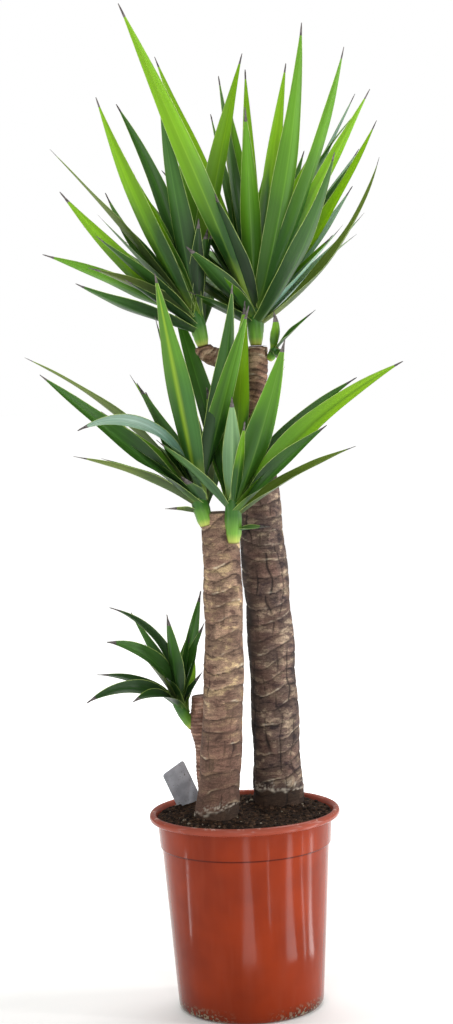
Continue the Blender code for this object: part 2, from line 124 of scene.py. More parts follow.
def wire(node: bpy.types.Node, **links: Any) -> None:
    """Gives a node's inputs their values and links.

    Args:
        node: The node.
        links: For each input, by its name with _ for spaces or in_ and its number, a value, a socket, or a
            node, of which the first output in use is taken.
    """
    for key, value in links.items():
        socket = node.inputs[int(key[3:])] if key.startswith("in_") else node.inputs[key.replace("_", " ")]
        if isinstance(value, bpy.types.Node):
            value = next(output for output in value.outputs if output.enabled)
        if isinstance(value, bpy.types.NodeSocket):
            node.id_data.links.new(value, socket)
        else:
            socket.default_value = value


def add(tree: bpy.types.NodeTree, kind: str, settings: Optional[dict] = None, **links: Any) -> bpy.types.Node:
    """Adds a shader node with its settings, values and links.

    Args:
        tree: The node tree that it goes into.
        kind: Blender's name for the node's type.
        settings: The node's own properties, and for a ramp its stops: a hex colour for each place.
        links: Its inputs, as for wire.

    Returns:
        The new node.
    """
    node = tree.nodes.new(kind)
    for key, value in (settings or {}).items():
        if key != "stops":
            setattr(node, key, value)
            continue
        elements = node.color_ramp.elements
        while len(elements) < len(value):
            elements.new(0.5)
        for element, (place, colour) in zip(elements, value.items()):
            element.position, element.color = place, linear(colour)
    wire(node, **links)
    return node


class Span(NamedTuple):
    """A value mapped from one range to another. It is a socket, a node or the name of a mesh attribute."""

    value: Any
    low: float = 0.0
    high: float = 1.0
    first: float = 0.0
    last: float = 1.0


def product(tree: bpy.types.NodeTree, *spans: Span) -> bpy.types.Node:
    """Multiplies mapped values, each held at its range's ends.

    Args:
        tree: The node tree that this goes into.
        spans: The values and their ranges.

    Returns:
        The node that gives the product.
    """
    whole = None
    for value, low, high, first, last in spans:
        if isinstance(value, str):
            value = add(tree, "ShaderNodeAttribute", {"attribute_name": value}).outputs["Fac"]
        part = add(tree, "ShaderNodeMapRange", Value=value, From_Min=low, From_Max=high, To_Min=first, To_Max=last)
        whole = add(tree, "ShaderNodeMath", {"operation": "MULTIPLY"}, in_0=whole, in_1=part) if whole else part
    return whole


def painted(tree: bpy.types.NodeTree, colour: bpy.types.Node, *coats: tuple) -> bpy.types.Node:
    """Lays colours over one another.

    Args:
        tree: The node tree that this goes into.
        colour: The node that gives the lowest colour.
        coats: For each coat its hex colour, then the spans whose product is its share.

    Returns:
        The node that gives the painted colour.
    """
    for paint, *spans in coats:
        share = product(tree, *spans)
        colour = add(tree, "ShaderNodeMix", {"data_type": "RGBA"}, in_0=share, in_6=colour, in_7=linear(paint))
    return colour


def blank_material(name: str) -> tuple[bpy.types.Material, bpy.types.NodeTree, bpy.types.Node]:
    """Starts a material.

    Args:
        name: What the finish is, in a maker's words.

    Returns:
        The material, its node tree and its Principled shader.
    """
    made = bpy.data.materials.new(name)
    made.use_nodes = True
    return made, made.node_tree, made.node_tree.nodes["Principled BSDF"]


class Tint(Enum):
    """The leaf colours of this plant, young and old, with painted light in them: bright for leaves lit through from
    behind, dark and deep for painted shade, grey and sheen for a painted reflection of the sky.
    """

    BRIGHT = "bright"
    MID = "mid"
    DARK = "dark"
    DEEP = "deep"
    GREY = "grey"
    OLIVE = "olive"
    SHEEN = "sheen"
    STRIPED = "striped"
    PALE = "pale"
    KEELED = "keeled"


@dataclass(frozen=True)
class LeafFinish:
    """A living sword leaf: a waxy skin over parallel veins, so it has a soft gloss and glows against the light."""

    tint: Tint
    blade: str
    shade: str
    base: str
    rib: str
    glow: str
    through: float
    rib_share: float = 0.5
    rib_width: float = 0.035
    roughness: float = 0.40

    # Where along the blade its root's colour ends, and where its shaded part turns into its lit one.
    BASE_ENDS = 0.22
    SHADE_STARTS = 0.34
    SHADE_ENDS = 0.56
    BLADE_STARTS = 0.78

    def material(self) -> bpy.types.Material:
        """Builds the finish on the blade's UV map, which runs across in U and from root to tip in V.

        Returns:
            The leaf material.
        """
        made, tree, shader = blank_material(f"waxy_leaf_{self.tint.value}")
        place = add(tree, "ShaderNodeSeparateXYZ", Vector=add(tree, "ShaderNodeUVMap", {"uv_map": "UVMap"}))
        across, upward = place.outputs["X"], place.outputs["Y"]
        own = add(tree, "ShaderNodeAttribute", {"attribute_name": "leaf"}).outputs["Fac"]
        leaf = add(tree, "ShaderNodeCombineXYZ", X=across, Y=upward, Z=own)
        # Veins run the whole length about 1.2 mm apart, which is some 30 across a blade. Bands of tone are
        # about a fifth of its width each, and slow washes change it down its length.
        veins, bands, wash = (
            add(
                tree, "ShaderNodeTexNoise", Vector=add(tree, "ShaderNodeMapping", Vector=leaf, Scale=stretch),
                Scale=1.0, Detail=detail
            )
            for stretch, detail in (((30.0, 0.9, 40.0), 2.0), ((4.5, 0.5, 30.0), 1.0), ((1.2, 3.2, 20.0), 1.0))
        )
        # The lower half is painted darker and bluer than the upper one, as painted shade down in the crown, and where
        # it turns differs from leaf to leaf.
        turn = add(tree, "ShaderNodeMath", {"operation": "MULTIPLY_ADD"}, in_0=wash, in_1=0.4, in_2=upward)
        stops = {
            self.BASE_ENDS: self.base, self.SHADE_STARTS: self.shade,
            self.SHADE_ENDS: self.shade, self.BLADE_STARTS: self.blade,
        }
        body = add(tree, "ShaderNodeValToRGB", {"stops": stops}, in_0=turn)
        tone = product(tree, Span(bands, 0.3, 0.7, 0.72, 1.3), Span(veins, 0.3, 0.7, 0.86, 1.14))
        toned = add(tree, "ShaderNodeHueSaturation", Color=body, Value=tone)
        # The midrib is painted as a paler line, partly its own colour and partly a painted highlight along the fold,
        # and on a keeled leaf as a darker line of painted shade in the groove.
        beside = add(tree, "ShaderNodeMath", {"operation": "SUBTRACT"}, in_0=across, in_1=0.5)
        beside = add(tree, "ShaderNodeMath", {"operation": "ABSOLUTE"}, in_0=beside)
        ribbed = painted(tree, toned, (self.rib, Span(beside, 0.0, self.rib_width, self.rib_share, 0.0)))
        bump = add(tree, "ShaderNodeBump", Height=veins, Strength=0.3, Distance=0.0004)
        wire(shader, Base_Color=ribbed, Normal=bump, Roughness=self.roughness, IOR=1.43, Specular_IOR_Level=0.4)
        glow = add(tree, "ShaderNodeBsdfTranslucent", Color=linear(self.glow))
        mixed = add(tree, "ShaderNodeMixShader", in_0=self.through, in_1=shader, in_2=glow)
        wire(tree.nodes["Material Output"], Surface=mixed)
        return made


@dataclass(frozen=True)
class PlainLeafPart:
    """A part of a leaf that has one colour all over: its hard pale margin, or its dried tip."""

    name: str
    colour: str
    dark: str
    roughness: float
    grain: float

    def material(self) -> bpy.types.Material:
        """Builds the finish: one colour, mottled at the grain's size.

        Returns:
            The material.
        """
        made, tree, shader = blank_material(self.name)
        place = add(tree, "ShaderNodeTexCoord").outputs["Object"]
        mottle = add(tree, "ShaderNodeTexNoise", Vector=place, Scale=1 / self.grain, Detail=3.0)
        colour = add(tree, "ShaderNodeValToRGB", {"stops": {0.35: self.dark, 0.62: self.colour}}, in_0=mottle)
        wire(shader, Base_Color=colour, Roughness=self.roughness)
        return made


@dataclass(frozen=True)
class BarkFinish:
    """Corky bark with leaf scars: dull, with dark cracks partly of painted shade, paler lips partly of painted
    highlight, chalky flakes and painted shade down one side.
    """

    name: str
    pale: str
    body: str
    dark: str
    crack: str
    lip: str
    blush: str = "#694d41"
    chalk: str = "#c9bfae"
    damp: str = "#4a382c"
    # The colour of the painted shade down a cane's shaded side.
    stain: str = "#2b1f1a"

    def material(self) -> bpy.types.Material:
        """Builds the finish on the attributes that the relief leaves on the mesh.

        Returns:
            The bark material.
        """
        made, tree, shader = blank_material(self.name)
        place = add(tree, "ShaderNodeTexCoord").outputs["Object"]
        # Patches some 25 mm across, wider than tall, as each ring of growth weathers by itself.
        flat = add(tree, "ShaderNodeMapping", Vector=place, Scale=(1.0, 1.0, 2.2))
        patch = add(tree, "ShaderNodeTexNoise", Vector=flat, Scale=38.0, Detail=5.0, Roughness=0.62)
        # Wrinkles about 2 mm apart run round the cane, and grains of cork about 1.5 mm across lie over them.
        level = add(tree, "ShaderNodeMapping", Vector=place, Scale=(1.0, 1.0, 5.0))
        wrinkle = add(tree, "ShaderNodeTexNoise", Vector=level, Scale=110.0, Detail=4.0)
        grain = add(tree, "ShaderNodeTexNoise", Vector=place, Scale=650.0, Detail=3.0)
        # A second patchwork some 40 mm across, pinker where the outer bark has rubbed off.
        rubbed = add(tree, "ShaderNodeTexNoise", Vector=place, Scale=24.0, Detail=3.0)
        stops = {0.38: self.dark, 0.47: self.body, 0.53: self.body, 0.62: self.pale}
        colour = painted(
            tree, add(tree, "ShaderNodeValToRGB", {"stops": stops}, in_0=patch),
            (self.blush, Span(rubbed, 0.45, 0.6, 0.0, 0.5)), (self.blush, Span("pink")), (self.damp, Span("damp"))
        )
        fine = [Span(value, 0.32, 0.68, 0.72, 1.28) for value in (wrinkle, grain)]
        # The rings' tone holds painted shade under each scar; wrinkles and grain vary it at random.
        shade = product(tree, Span("tone", 0.0, 1.0, 0.66, 1.34), *fine)
        colour = add(tree, "ShaderNodeHueSaturation", Color=colour, Value=shade)
        # The marks: painted shade down one side, pale lips partly of painted highlight, dark scars and cracks partly
        # of painted shade, and lime.
        marks = {"stain": self.stain, "lip": self.lip, "crease": self.crack, "chalk": self.chalk}
        colour = painted(tree, colour, *((paint, Span(mark)) for mark, paint in marks.items()))
        height = add(tree, "ShaderNodeMath", {"operation": "ADD"}, in_0=grain, in_1=wrinkle)
        bump = add(tree, "ShaderNodeBump", Height=height, Strength=0.6, Distance=0.0010)
        wire(shader, Base_Color=colour, Normal=bump, Roughness=0.8, Specular_IOR_Level=0.3)
        return made


@dataclass(frozen=True)
class PotFinish:
    """Injection-moulded polypropylene, terracotta coloured: glossy and a little dusty, with a paler rim and a dark
    groove of painted shade under the collar.
    """

    body: str = "#8c2e0a"
    shaded: str = "#782507"
    dusty: str = "#8e3b24"
    handled: str = "#a0584a"
    # The groove's colour is painted shade in the recess under the collar.
    groove: str = "#4a1508"
    scuff: str = "#d9b6a8"
    dirt: str = "#2c1f18"
    crust: str = "#9b9078"
    streak_width: float = 0.016
    groove_height: float = 0.2335

    def material(self) -> bpy.types.Material:
        """Builds the finish: broad upright streaks of dust, pale patches on the rim, painted shade in the groove, and
        dirt at the foot.

        Returns:
            The pot material.
        """
        made, tree, shader = blank_material("moulded_polypropylene")
        place = add(tree, "ShaderNodeTexCoord").outputs["Object"]
        upright = add(tree, "ShaderNodeMapping", Vector=place, Scale=(1.0, 1.0, 0.12))
        streaks = add(tree, "ShaderNodeTexNoise", Vector=upright, Scale=1 / self.streak_width, Detail=2.0)
        broad = add(tree, "ShaderNodeTexNoise", Vector=place, Scale=14.0, Detail=2.0)
        crumbs = add(tree, "ShaderNodeTexNoise", Vector=place, Scale=210.0, Detail=4.0)
        pale_patches = add(tree, "ShaderNodeTexNoise", Vector=place, Scale=60.0, Detail=5.0, Roughness=0.7)
        parted = add(tree, "ShaderNodeSeparateXYZ", Vector=place)
        height = parted.outputs["Z"]
        across = add(tree, "ShaderNodeMath", {"operation": "ABSOLUTE"}, in_0=parted.outputs["X"])
        beside = add(tree, "ShaderNodeMath", {"operation": "SUBTRACT"}, in_0=height, in_1=self.groove_height)
        beside = add(tree, "ShaderNodeMath", {"operation": "ABSOLUTE"}, in_0=beside)
        # Dirt clings to the lowest 20 mm of the two sides, in crumbs of about 5 mm.
        soiled = (Span(across, 0.02, 0.07), Span(height, 0.022, 0.004), Span(crumbs, 0.36, 0.48))
        colour = painted(
            tree, add(tree, "ShaderNodeValToRGB", {"stops": {0.3: self.shaded, 0.62: self.body}}, in_0=broad),
            (self.dusty, Span(streaks, 0.5, 0.8, 0.0, 0.35)),
            # The rim band is painted paler, and the groove under the collar is painted dark as painted shade.
            (self.handled, Span(height, 0.268, 0.281, 0.0, 0.7)),
            (self.groove, Span(beside, 0.0019, 0.0007, 0.0, 0.85)),
            (self.dirt, *soiled),
            (self.crust, *soiled, Span(crumbs, 0.52, 0.57)),
            # The top of the rim is painted pale in a few places about 15 mm long.
            (self.scuff, Span(height, 0.2795, 0.2815, 0.0, 0.55), Span(pale_patches, 0.56, 0.64)),
        )
        rough = product(tree, Span(streaks, 0.3, 0.75, 0.09, 0.2))
        wire(shader, Base_Color=colour, Roughness=rough, IOR=1.49, Specular_IOR_Level=0.17)
        return made


@dataclass(frozen=True)
class CrumbFinish:
    """Peat compost or what lies in it: matt, mottled and dark where it is damp."""

    name: str
    colour: str
    dark: str
    grain: float

    def material(self) -> bpy.types.Material:
        """Builds the finish, mottled at the size of a crumb.

        Returns:
            The material.
        """
        made, tree, shader = blank_material(self.name)
        place = add(tree, "ShaderNodeTexCoord").outputs["Object"]
        mottle = add(tree, "ShaderNodeTexNoise", Vector=place, Scale=1 / self.grain, Detail=5.0, Roughness=0.65)
        colour = add(tree, "ShaderNodeValToRGB", {"stops": {0.38: self.dark, 0.66: self.colour}}, in_0=mottle)
        bump = add(tree, "ShaderNodeBump", Height=mottle, Strength=0.8, Distance=0.0015)
        wire(shader, Base_Color=colour, Normal=bump, Roughness=0.95, Specular_IOR_Level=0.2)
        return made


@dataclass(frozen=True)
class TagFinish:
    """A bare plant label of stamped polystyrene sheet: satin, grey, with a little splashed compost."""

    colour: str = "#d2d6de"
    shade: str = "#b4b8c1"
    splash: str = "#55504c"

    def material(self) -> bpy.types.Material:
        """Builds the finish with faint cloudiness and specks about 2 mm across.

        Returns:
            The label material.
        """
        made, tree, shader = blank_material("stamped_polystyrene")
        place = add(tree, "ShaderNodeTexCoord").outputs["Object"]
        cloud = add(tree, "ShaderNodeTexNoise", Vector=place, Scale=60.0, Detail=2.0)
        specks = add(tree, "ShaderNodeTexNoise", Vector=place, Scale=420.0, Detail=2.0)
        colour = add(tree, "ShaderNodeValToRGB", {"stops": {0.35: self.shade, 0.65: self.colour}}, in_0=cloud)
        wire(shader, Base_Color=painted(tree, colour, (self.splash, Span(specks, 0.66, 0.72))), Roughness=0.5)
        return made


def place_object(name: str, data: bpy.types.ID, where: Optional[Matrix] = None) -> bpy.types.Object:
    """Makes an object and links it into the scene.

    Args:
        name: The object's name.
        data: Its mesh, light or camera.
        where: Where it goes, if not at the origin.

    Returns:
        The object.
    """
    made = bpy.data.objects.new(name, data)
    bpy.context.scene.collection.objects.link(made)
    if where is not None:
        made.matrix_world = where
    return made


def meshed(bm: bmesh.types.BMesh, name: str) -> bpy.types.Mesh:
    """Turns a bmesh into a mesh and frees it."""
    mesh = bpy.data.meshes.new(name)
    bm.to_mesh(mesh)
    bm.free()
    return mesh


def finish_piece(
    bm: bmesh.types.BMesh, name: str, materials: list[bpy.types.Material], sharp: float = ALL_SMOOTH
) -> bpy.types.Object:
    """Turns a bmesh into a smooth-shaded piece that rides on the plant.

    Args:
        bm: The mesh in the making, freed here.
        name: The piece's name.
        materials: Its materials, in the order of the faces' indices.
        sharp: Edges that turn by more degrees than this stay sharp.

    Returns:
        The piece's object, at the origin.
    """
    mesh = meshed(bm, name)
    for material in materials:
        mesh.materials.append(material)
    mesh.shade_smooth()
    if sharp < ALL_SMOOTH:
        mesh.set_sharp_from_angle(angle=math.radians(sharp))
    piece = place_object(name, mesh)
    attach(piece, BODY)
    LOG.info("%s: %d faces", name, len(mesh.polygons))
    return piece


def direction(bearing: float, lean: float) -> Vector:
    """The unit vector that leans from upright towards a bearing.

    Args:
        bearing: Degrees round from +X through +Y.
        lean: Degrees from upright.

    Returns:
        The unit vector.
    """
    around, down = math.radians(bearing), math.radians(lean)
    return Vector((math.sin(down) * math.cos(around), math.sin(down) * math.sin(around), math.cos(down)))


class Leaf(NamedTuple):
    """One sword leaf: bow is how much further it leans at its tip, turn is its blade's turn about the midrib."""

    bearing: float
    lean: float
    bow: float
    length: float
    width: float
    turn: float = 0.0
    tint: Tint = Tint.MID


class Section(NamedTuple):
    """A leaf's cross-section: its middle, the ways across and out of its upper face, half its width, its fold."""

    along: float
    point: Vector
    side: Vector
    up: Vector
    half: float
    fold: float


@dataclass(frozen=True)
class LeafBlade:
    """How fine blades are cut: a thin sheet with a hard pale margin and a dried tip."""

    columns: int = 10
    rows: int = 26
    crowding: float = 1.25
    margin: float = 0.0006
    dry_tip: float = 0.016
    tip_half: float = 0.0012
    keel_power: float = 1.5
    ripple: float = 0.0010
    ripple_length: float = 0.3
    ripples: float = 2.3

    def sections(self, root: Vector, leaf: Leaf) -> list[Section]:
        """Walks along a leaf by the model's rule.

        Args:
            root: Where the leaf comes out of its stem's axis.
            leaf: The leaf's sizes.

        Returns:
            The sections from root to tip, closer together towards the tip.
        """
        found = []
        point, before = root.copy(), 0.0
        across = direction(leaf.bearing + 90, 90)
        for row in range(self.rows + 1):
            along = 1 - (1 - row / self.rows) ** self.crowding
            middle = (before + along) / 2
            point = point + direction(leaf.bearing, leaf.lean + leaf.bow * middle) * leaf.length * (along - before)
            before = along
            run = direction(leaf.bearing, leaf.lean + leaf.bow * along)
            spin = Matrix.Rotation(math.radians(leaf.turn) * min(1.0, along / TURN_END), 3, run)
            fold = math.radians(ROOT_FOLD + along * (TIP_FOLD - ROOT_FOLD))
            least = self.tip_half if row < self.rows else self.tip_half / 2
            half = max(leaf.width / 2 * self.breadth(along), least)
            found.append(Section(along, point, spin @ across, spin @ run.cross(across), half, fold))
        return found

    def breadth(self, along: float) -> float:
        """The share of its full width that a leaf has at a share of its length."""
        if along > TAPER_START:
            left = (1 - along) / (1 - TAPER_START)
            return 1 - (1 - left) ** TAPER_POWER
        rise = min(1.0, along / NECK_END)
        return NECK + (1 - NECK) * rise * rise * (3 - 2 * rise)

    def cut(self, root: Vector, leaf: Leaf, slots: dict[Tint, int]) -> bmesh.types.BMesh:
        """Makes one blade.

        Args:
            root: Where the leaf comes out of its stem's axis.
            leaf: The leaf's sizes and tint.
            slots: The material index of each tint. The margin's and the dry tip's indices follow them.

        Returns:
            The blade, with a UV map that runs across in U and from root to tip in V.
        """
        bm = bmesh.new()
        bm.loops.layers.uv.new("UVMap")
        own = bm.verts.layers.float.new("leaf")
        bmesh.ops.create_grid(bm, x_segments=self.columns, y_segments=self.rows, size=0.5, calc_uvs=True)
        sections = self.sections(root, leaf)
        phase = (leaf.bearing * GOLDEN + leaf.lean) % 1.0
        columns, rows = {}, {}
        for vertex in bm.verts:
            column = round((vertex.co.x + 0.5) * self.columns)
            row = round((vertex.co.y + 0.5) * self.rows)
            columns[vertex], rows[vertex] = column, row
            vertex.co = self.place(sections[row], column, phase, leaf)
            vertex[own] = phase
        margin = len(slots)
        for face in bm.faces:
            middle = sum(columns[vertex] for vertex in face.verts) / 4
            along = sum(sections[rows[vertex]].along for vertex in face.verts) / 4
            if (1 - along) * leaf.length < self.dry_tip:
                face.material_index = margin + 1
            elif middle < 1 or middle > self.columns - 1:
                face.material_index = margin
            else:
                face.material_index = slots[leaf.tint]
        return bm

    def place(self, section: Section, column: int, phase: float, leaf: Leaf) -> Vector:
        """Where a grid point of the blade lies.

        Args:
            section: The cross-section that it lies on.
            column: Its column, from one margin to the other.
            phase: Where this leaf's ripples start.
            leaf: The leaf's sizes.

        Returns:
            The point in metres.
        """
        edge = min(self.margin, section.half / 2)
        if column in (0, self.columns):
            across = math.copysign(section.half, column - 1)
        else:
            across = (section.half - edge) * (2 * (column - 1) / (self.columns - 2) - 1)
        share = across / section.half if section.half else 0.0
        rise = section.half * math.sin(section.fold) * abs(share) ** self.keel_power
        swell = math.sin(math.pi * section.along) * math.sin(math.tau * (self.ripples * section.along + phase))
        rise += self.ripple * swell * share * leaf.length / self.ripple_length
        return section.point + section.side * across * math.cos(section.fold) + section.up * rise


@dataclass(frozen=True)
class StemFinish:
    """The clasping leaf bases that make a shoot's stem: firm and waxy, almost white where they are youngest."""

    foot: str = "#a9b552"
    middle: str = "#6a9a34"
    top: str = "#35631f"
    scar: str = "#5a4126"

    def material(self) -> bpy.types.Material:
        """Builds the finish on the stem's UV map, which runs from its foot to its top in V.

        Returns:
            The stem material.
        """
        made, tree, shader = blank_material("clasping_leaf_bases")
        place = add(tree, "ShaderNodeUVMap", {"uv_map": "UVMap"})
        along = add(tree, "ShaderNodeSeparateXYZ", Vector=place).outputs["Y"]
        stretch = add(tree, "ShaderNodeMapping", Vector=place, Scale=(24.0, 1.5, 1.0))
        veins = add(tree, "ShaderNodeTexNoise", Vector=stretch, Scale=1.0, Detail=2.0)
        stops = {0.0: self.scar, 0.05: self.foot, 0.22: self.middle, 0.6: self.top}
        body = add(tree, "ShaderNodeValToRGB", {"stops": stops}, in_0=along)
        tone = product(tree, Span(veins, 0.3, 0.7, 0.8, 1.15))
        toned = add(tree, "ShaderNodeHueSaturation", Color=body, Value=tone)
        wire(shader, Base_Color=toned, Roughness=0.4, IOR=1.43, Specular_IOR_Level=0.4)
        return made


@dataclass(frozen=True)
class Shoot:
    """A head of leaves on a short stem, in place of the model's node of the same name."""

    name: str
    foot: tuple[float, float, float]
    bearing: float
    lean: float
    height: float
    radius: float
    shown: tuple[Leaf, ...]
    between: tuple[Leaf, ...] = ()
    hidden: int = 0
    away: float = 0.0
    reach: float = 0.0
    seed: int = 0
    filling: int = 0
    filling_seed: int = 0
    closing: tuple[Leaf, ...] = ()

    STEM_SIDES = 24
    STEM_ROWS = 18
    SHEATHS = 5
    SHEATH_TWIST = 1.6
    SHEATH_STEP = 0.09

    def axis(self) -> Vector:
        """The way its stem points."""
        return direction(self.bearing, self.lean)

    def leaf_root(self, leaf: Leaf) -> Vector:
        """Where a leaf comes out of the stem: upright leaves at the top, spreading ones further down."""
        share = TOP_LEAF * (1 - LEAN_DROP * leaf.lean / 90)
        return Vector(self.foot) + self.axis() * self.height * share

    def far_leaves(self, count: int, seed: int) -> Iterator[Leaf]:
        """The leaves round the shoot's far side, from its upright middle to its spreading skirt.

        Args:
            count: How many leaves there are.
            seed: What their small differences are drawn from.

        Yields:
            Each leaf.
        """
        chance = random.Random(seed)
        first = chance.random()
        for number in range(count):
            rank = (number + 0.5) / count
            swing = (first + number * GOLDEN) % 1.0 - 0.5
            yield Leaf(
                self.away + FAR_SPREAD * swing,
                INNER_LEAN + rank * (OUTER_LEAN - INNER_LEAN),
                chance.uniform(*FAR_BOWS),
                self.reach * chance.uniform(*FAR_REACHES) * (1 - REACH_LOSS * rank),
                LEAF_WIDTH * chance.uniform(*FAR_WIDTHS),
                chance.uniform(*FAR_TURNS),
            )

    def stem_radius(self, share: float) -> float:
        """The stem's radius at a share of its height."""
        for (low, thin), (high, thick) in zip(STEM_PROFILE, STEM_PROFILE[1:]):
            if share <= high:
                break
        return self.radius * (thin + (thick - thin) * (share - low) / (high - low))

    def stem(self, finish: bpy.types.Material) -> bpy.types.Object:
        """Makes the stem, ridged by the edges of the leaf bases that wrap it.

        Args:
            finish: The material of the leaf bases.

        Returns:
            The stem's piece.
        """
        bm = bmesh.new()
        bm.loops.layers.uv.new("UVMap")
        bmesh.ops.create_grid(bm, x_segments=self.STEM_SIDES, y_segments=self.STEM_ROWS, size=0.5, calc_uvs=True)
        turned = self.axis().to_track_quat("Z", "Y").to_matrix()
        for vertex in bm.verts:
            turn, share = math.tau * (vertex.co.x + 0.5), vertex.co.y + 0.5
            wrap = ((turn / math.tau) * self.SHEATHS + share * self.SHEATH_TWIST) % 1.0
            radius = self.stem_radius(share) * (1 - self.SHEATH_STEP * wrap * (1 - abs(2 * share - 1) ** 4))
            ring = Vector((radius * math.cos(turn), radius * math.sin(turn), share * self.height))
            vertex.co = Vector(self.foot) + turned @ ring
        bmesh.ops.remove_doubles(bm, verts=bm.verts, dist=SEAM)
        close_ends(bm)
        return finish_piece(bm, f"{self.name}_stem", [finish], 60.0)


def close_ends(bm: bmesh.types.BMesh) -> None:
    """Closes a tube's open ends with inset discs and turns its faces outwards."""
    rims = [edge for edge in bm.edges if edge.is_boundary]
    caps = bmesh.ops.edgeloop_fill(bm, edges=rims)["faces"]
    for share in (0.25, 0.5):
        across = math.sqrt(min(cap.calc_area() for cap in caps))
        bmesh.ops.inset_individual(bm, faces=caps, thickness=across * share / 2)
    bmesh.ops.poke(bm, faces=caps)
    bmesh.ops.recalc_face_normals(bm, faces=bm.faces)


class Crown:
    """All the shoots: it grows the leaves that the photo tells apart first, then the others where there is room."""

    FAR_TINTS = (Tint.DARK, Tint.MID, Tint.BRIGHT, Tint.GREY, Tint.MID, Tint.DARK, Tint.OLIVE)

    def __init__(self, shoots: tuple[Shoot, ...], blade: LeafBlade, finishes: tuple[LeafFinish, ...]) -> None:
        """Takes what the crown is made from.

        Args:
            shoots: The shoots, in the order in which the model grows them.
            blade: How blades are cut.
            finishes: The living leaf of each tint.
        """
        self.shoots = shoots
        self.blade = blade
        self.slots = {finish.tint: number for number, finish in enumerate(finishes)}
        self.materials = [finish.material() for finish in finishes] + [MARGIN.material(), DRY_TIP.material()]
        self.meshes = {shoot.name: bmesh.new() for shoot in shoots}
        self.taken: list[tuple[str, BVHTree]] = []

    def keep(self, shoot: Shoot, cut: bmesh.types.BMesh) -> None:
        """Adds a blade to its shoot's piece and to the places taken."""
        self.taken.append((shoot.name, BVHTree.FromBMesh(cut)))
        passed = meshed(cut, "blade")
        self.meshes[shoot.name].from_mesh(passed)
        bpy.data.meshes.remove(passed)

    def grow_clear(self, shoot: Shoot, leaf: Leaf) -> bool:
        """Grows one of the other leaves at the first swing that clears the other shoots and the wood.

        Args:
            shoot: The shoot that it grows on.
            leaf: The leaf.

        Returns:
            Whether there was room for it.
        """
        for swing in SWINGS:
            swung = leaf._replace(bearing=leaf.bearing + swing)
            cut = self.blade.cut(shoot.leaf_root(swung), swung, self.slots)
            tree = BVHTree.FromBMesh(cut)
            if not any(owner != shoot.name and tree.overlap(other) for owner, other in self.taken):
                self.keep(shoot, cut)
                return True
            cut.free()
        return False

    def build(self, wood: list[bpy.types.Object]) -> None:
        """Grows every shoot and makes its pieces.

        Args:
            wood: The canes and limbs, which the other leaves keep clear of.
        """
        graph = bpy.context.evaluated_depsgraph_get()
        self.taken = [(thing.name, BVHTree.FromObject(thing, graph)) for thing in wood]
        for shoot in self.shoots:
            for leaf in shoot.shown:
                self.keep(shoot, self.blade.cut(shoot.leaf_root(leaf), leaf, self.slots))
        grown = 0
        for shoot in self.shoots:
            far = list(shoot.far_leaves(shoot.hidden, shoot.seed))
            far += shoot.far_leaves(shoot.filling, shoot.filling_seed)
            tinted = [
                leaf._replace(tint=self.FAR_TINTS[number % len(self.FAR_TINTS)]) for number, leaf in enumerate(far)
            ]
            grown += sum(self.grow_clear(shoot, leaf) for leaf in (*shoot.between, *tinted))
        for shoot in self.shoots:
            grown += sum(self.grow_clear(shoot, leaf) for leaf in shoot.closing)
        LOG.info("%d leaves between the others and on the far side", grown)
        stems = StemFinish().material()
        for shoot in self.shoots:
            blades = finish_piece(self.meshes[shoot.name], f"{shoot.name}_leaves", self.materials)
            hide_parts(shoot.name)
            shoot.stem(stems)


class Relief(NamedTuple):
    """What the bark does at one point: its height in metres and, from 0 to 1, what colours it."""

    rise: float
    crease: float = 0.0
    lip: float = 0.0
    chalk: float = 0.0
    pink: float = 0.0
    damp: float = 0.0
    stain: float = 0.0
    tone: float = 0.5


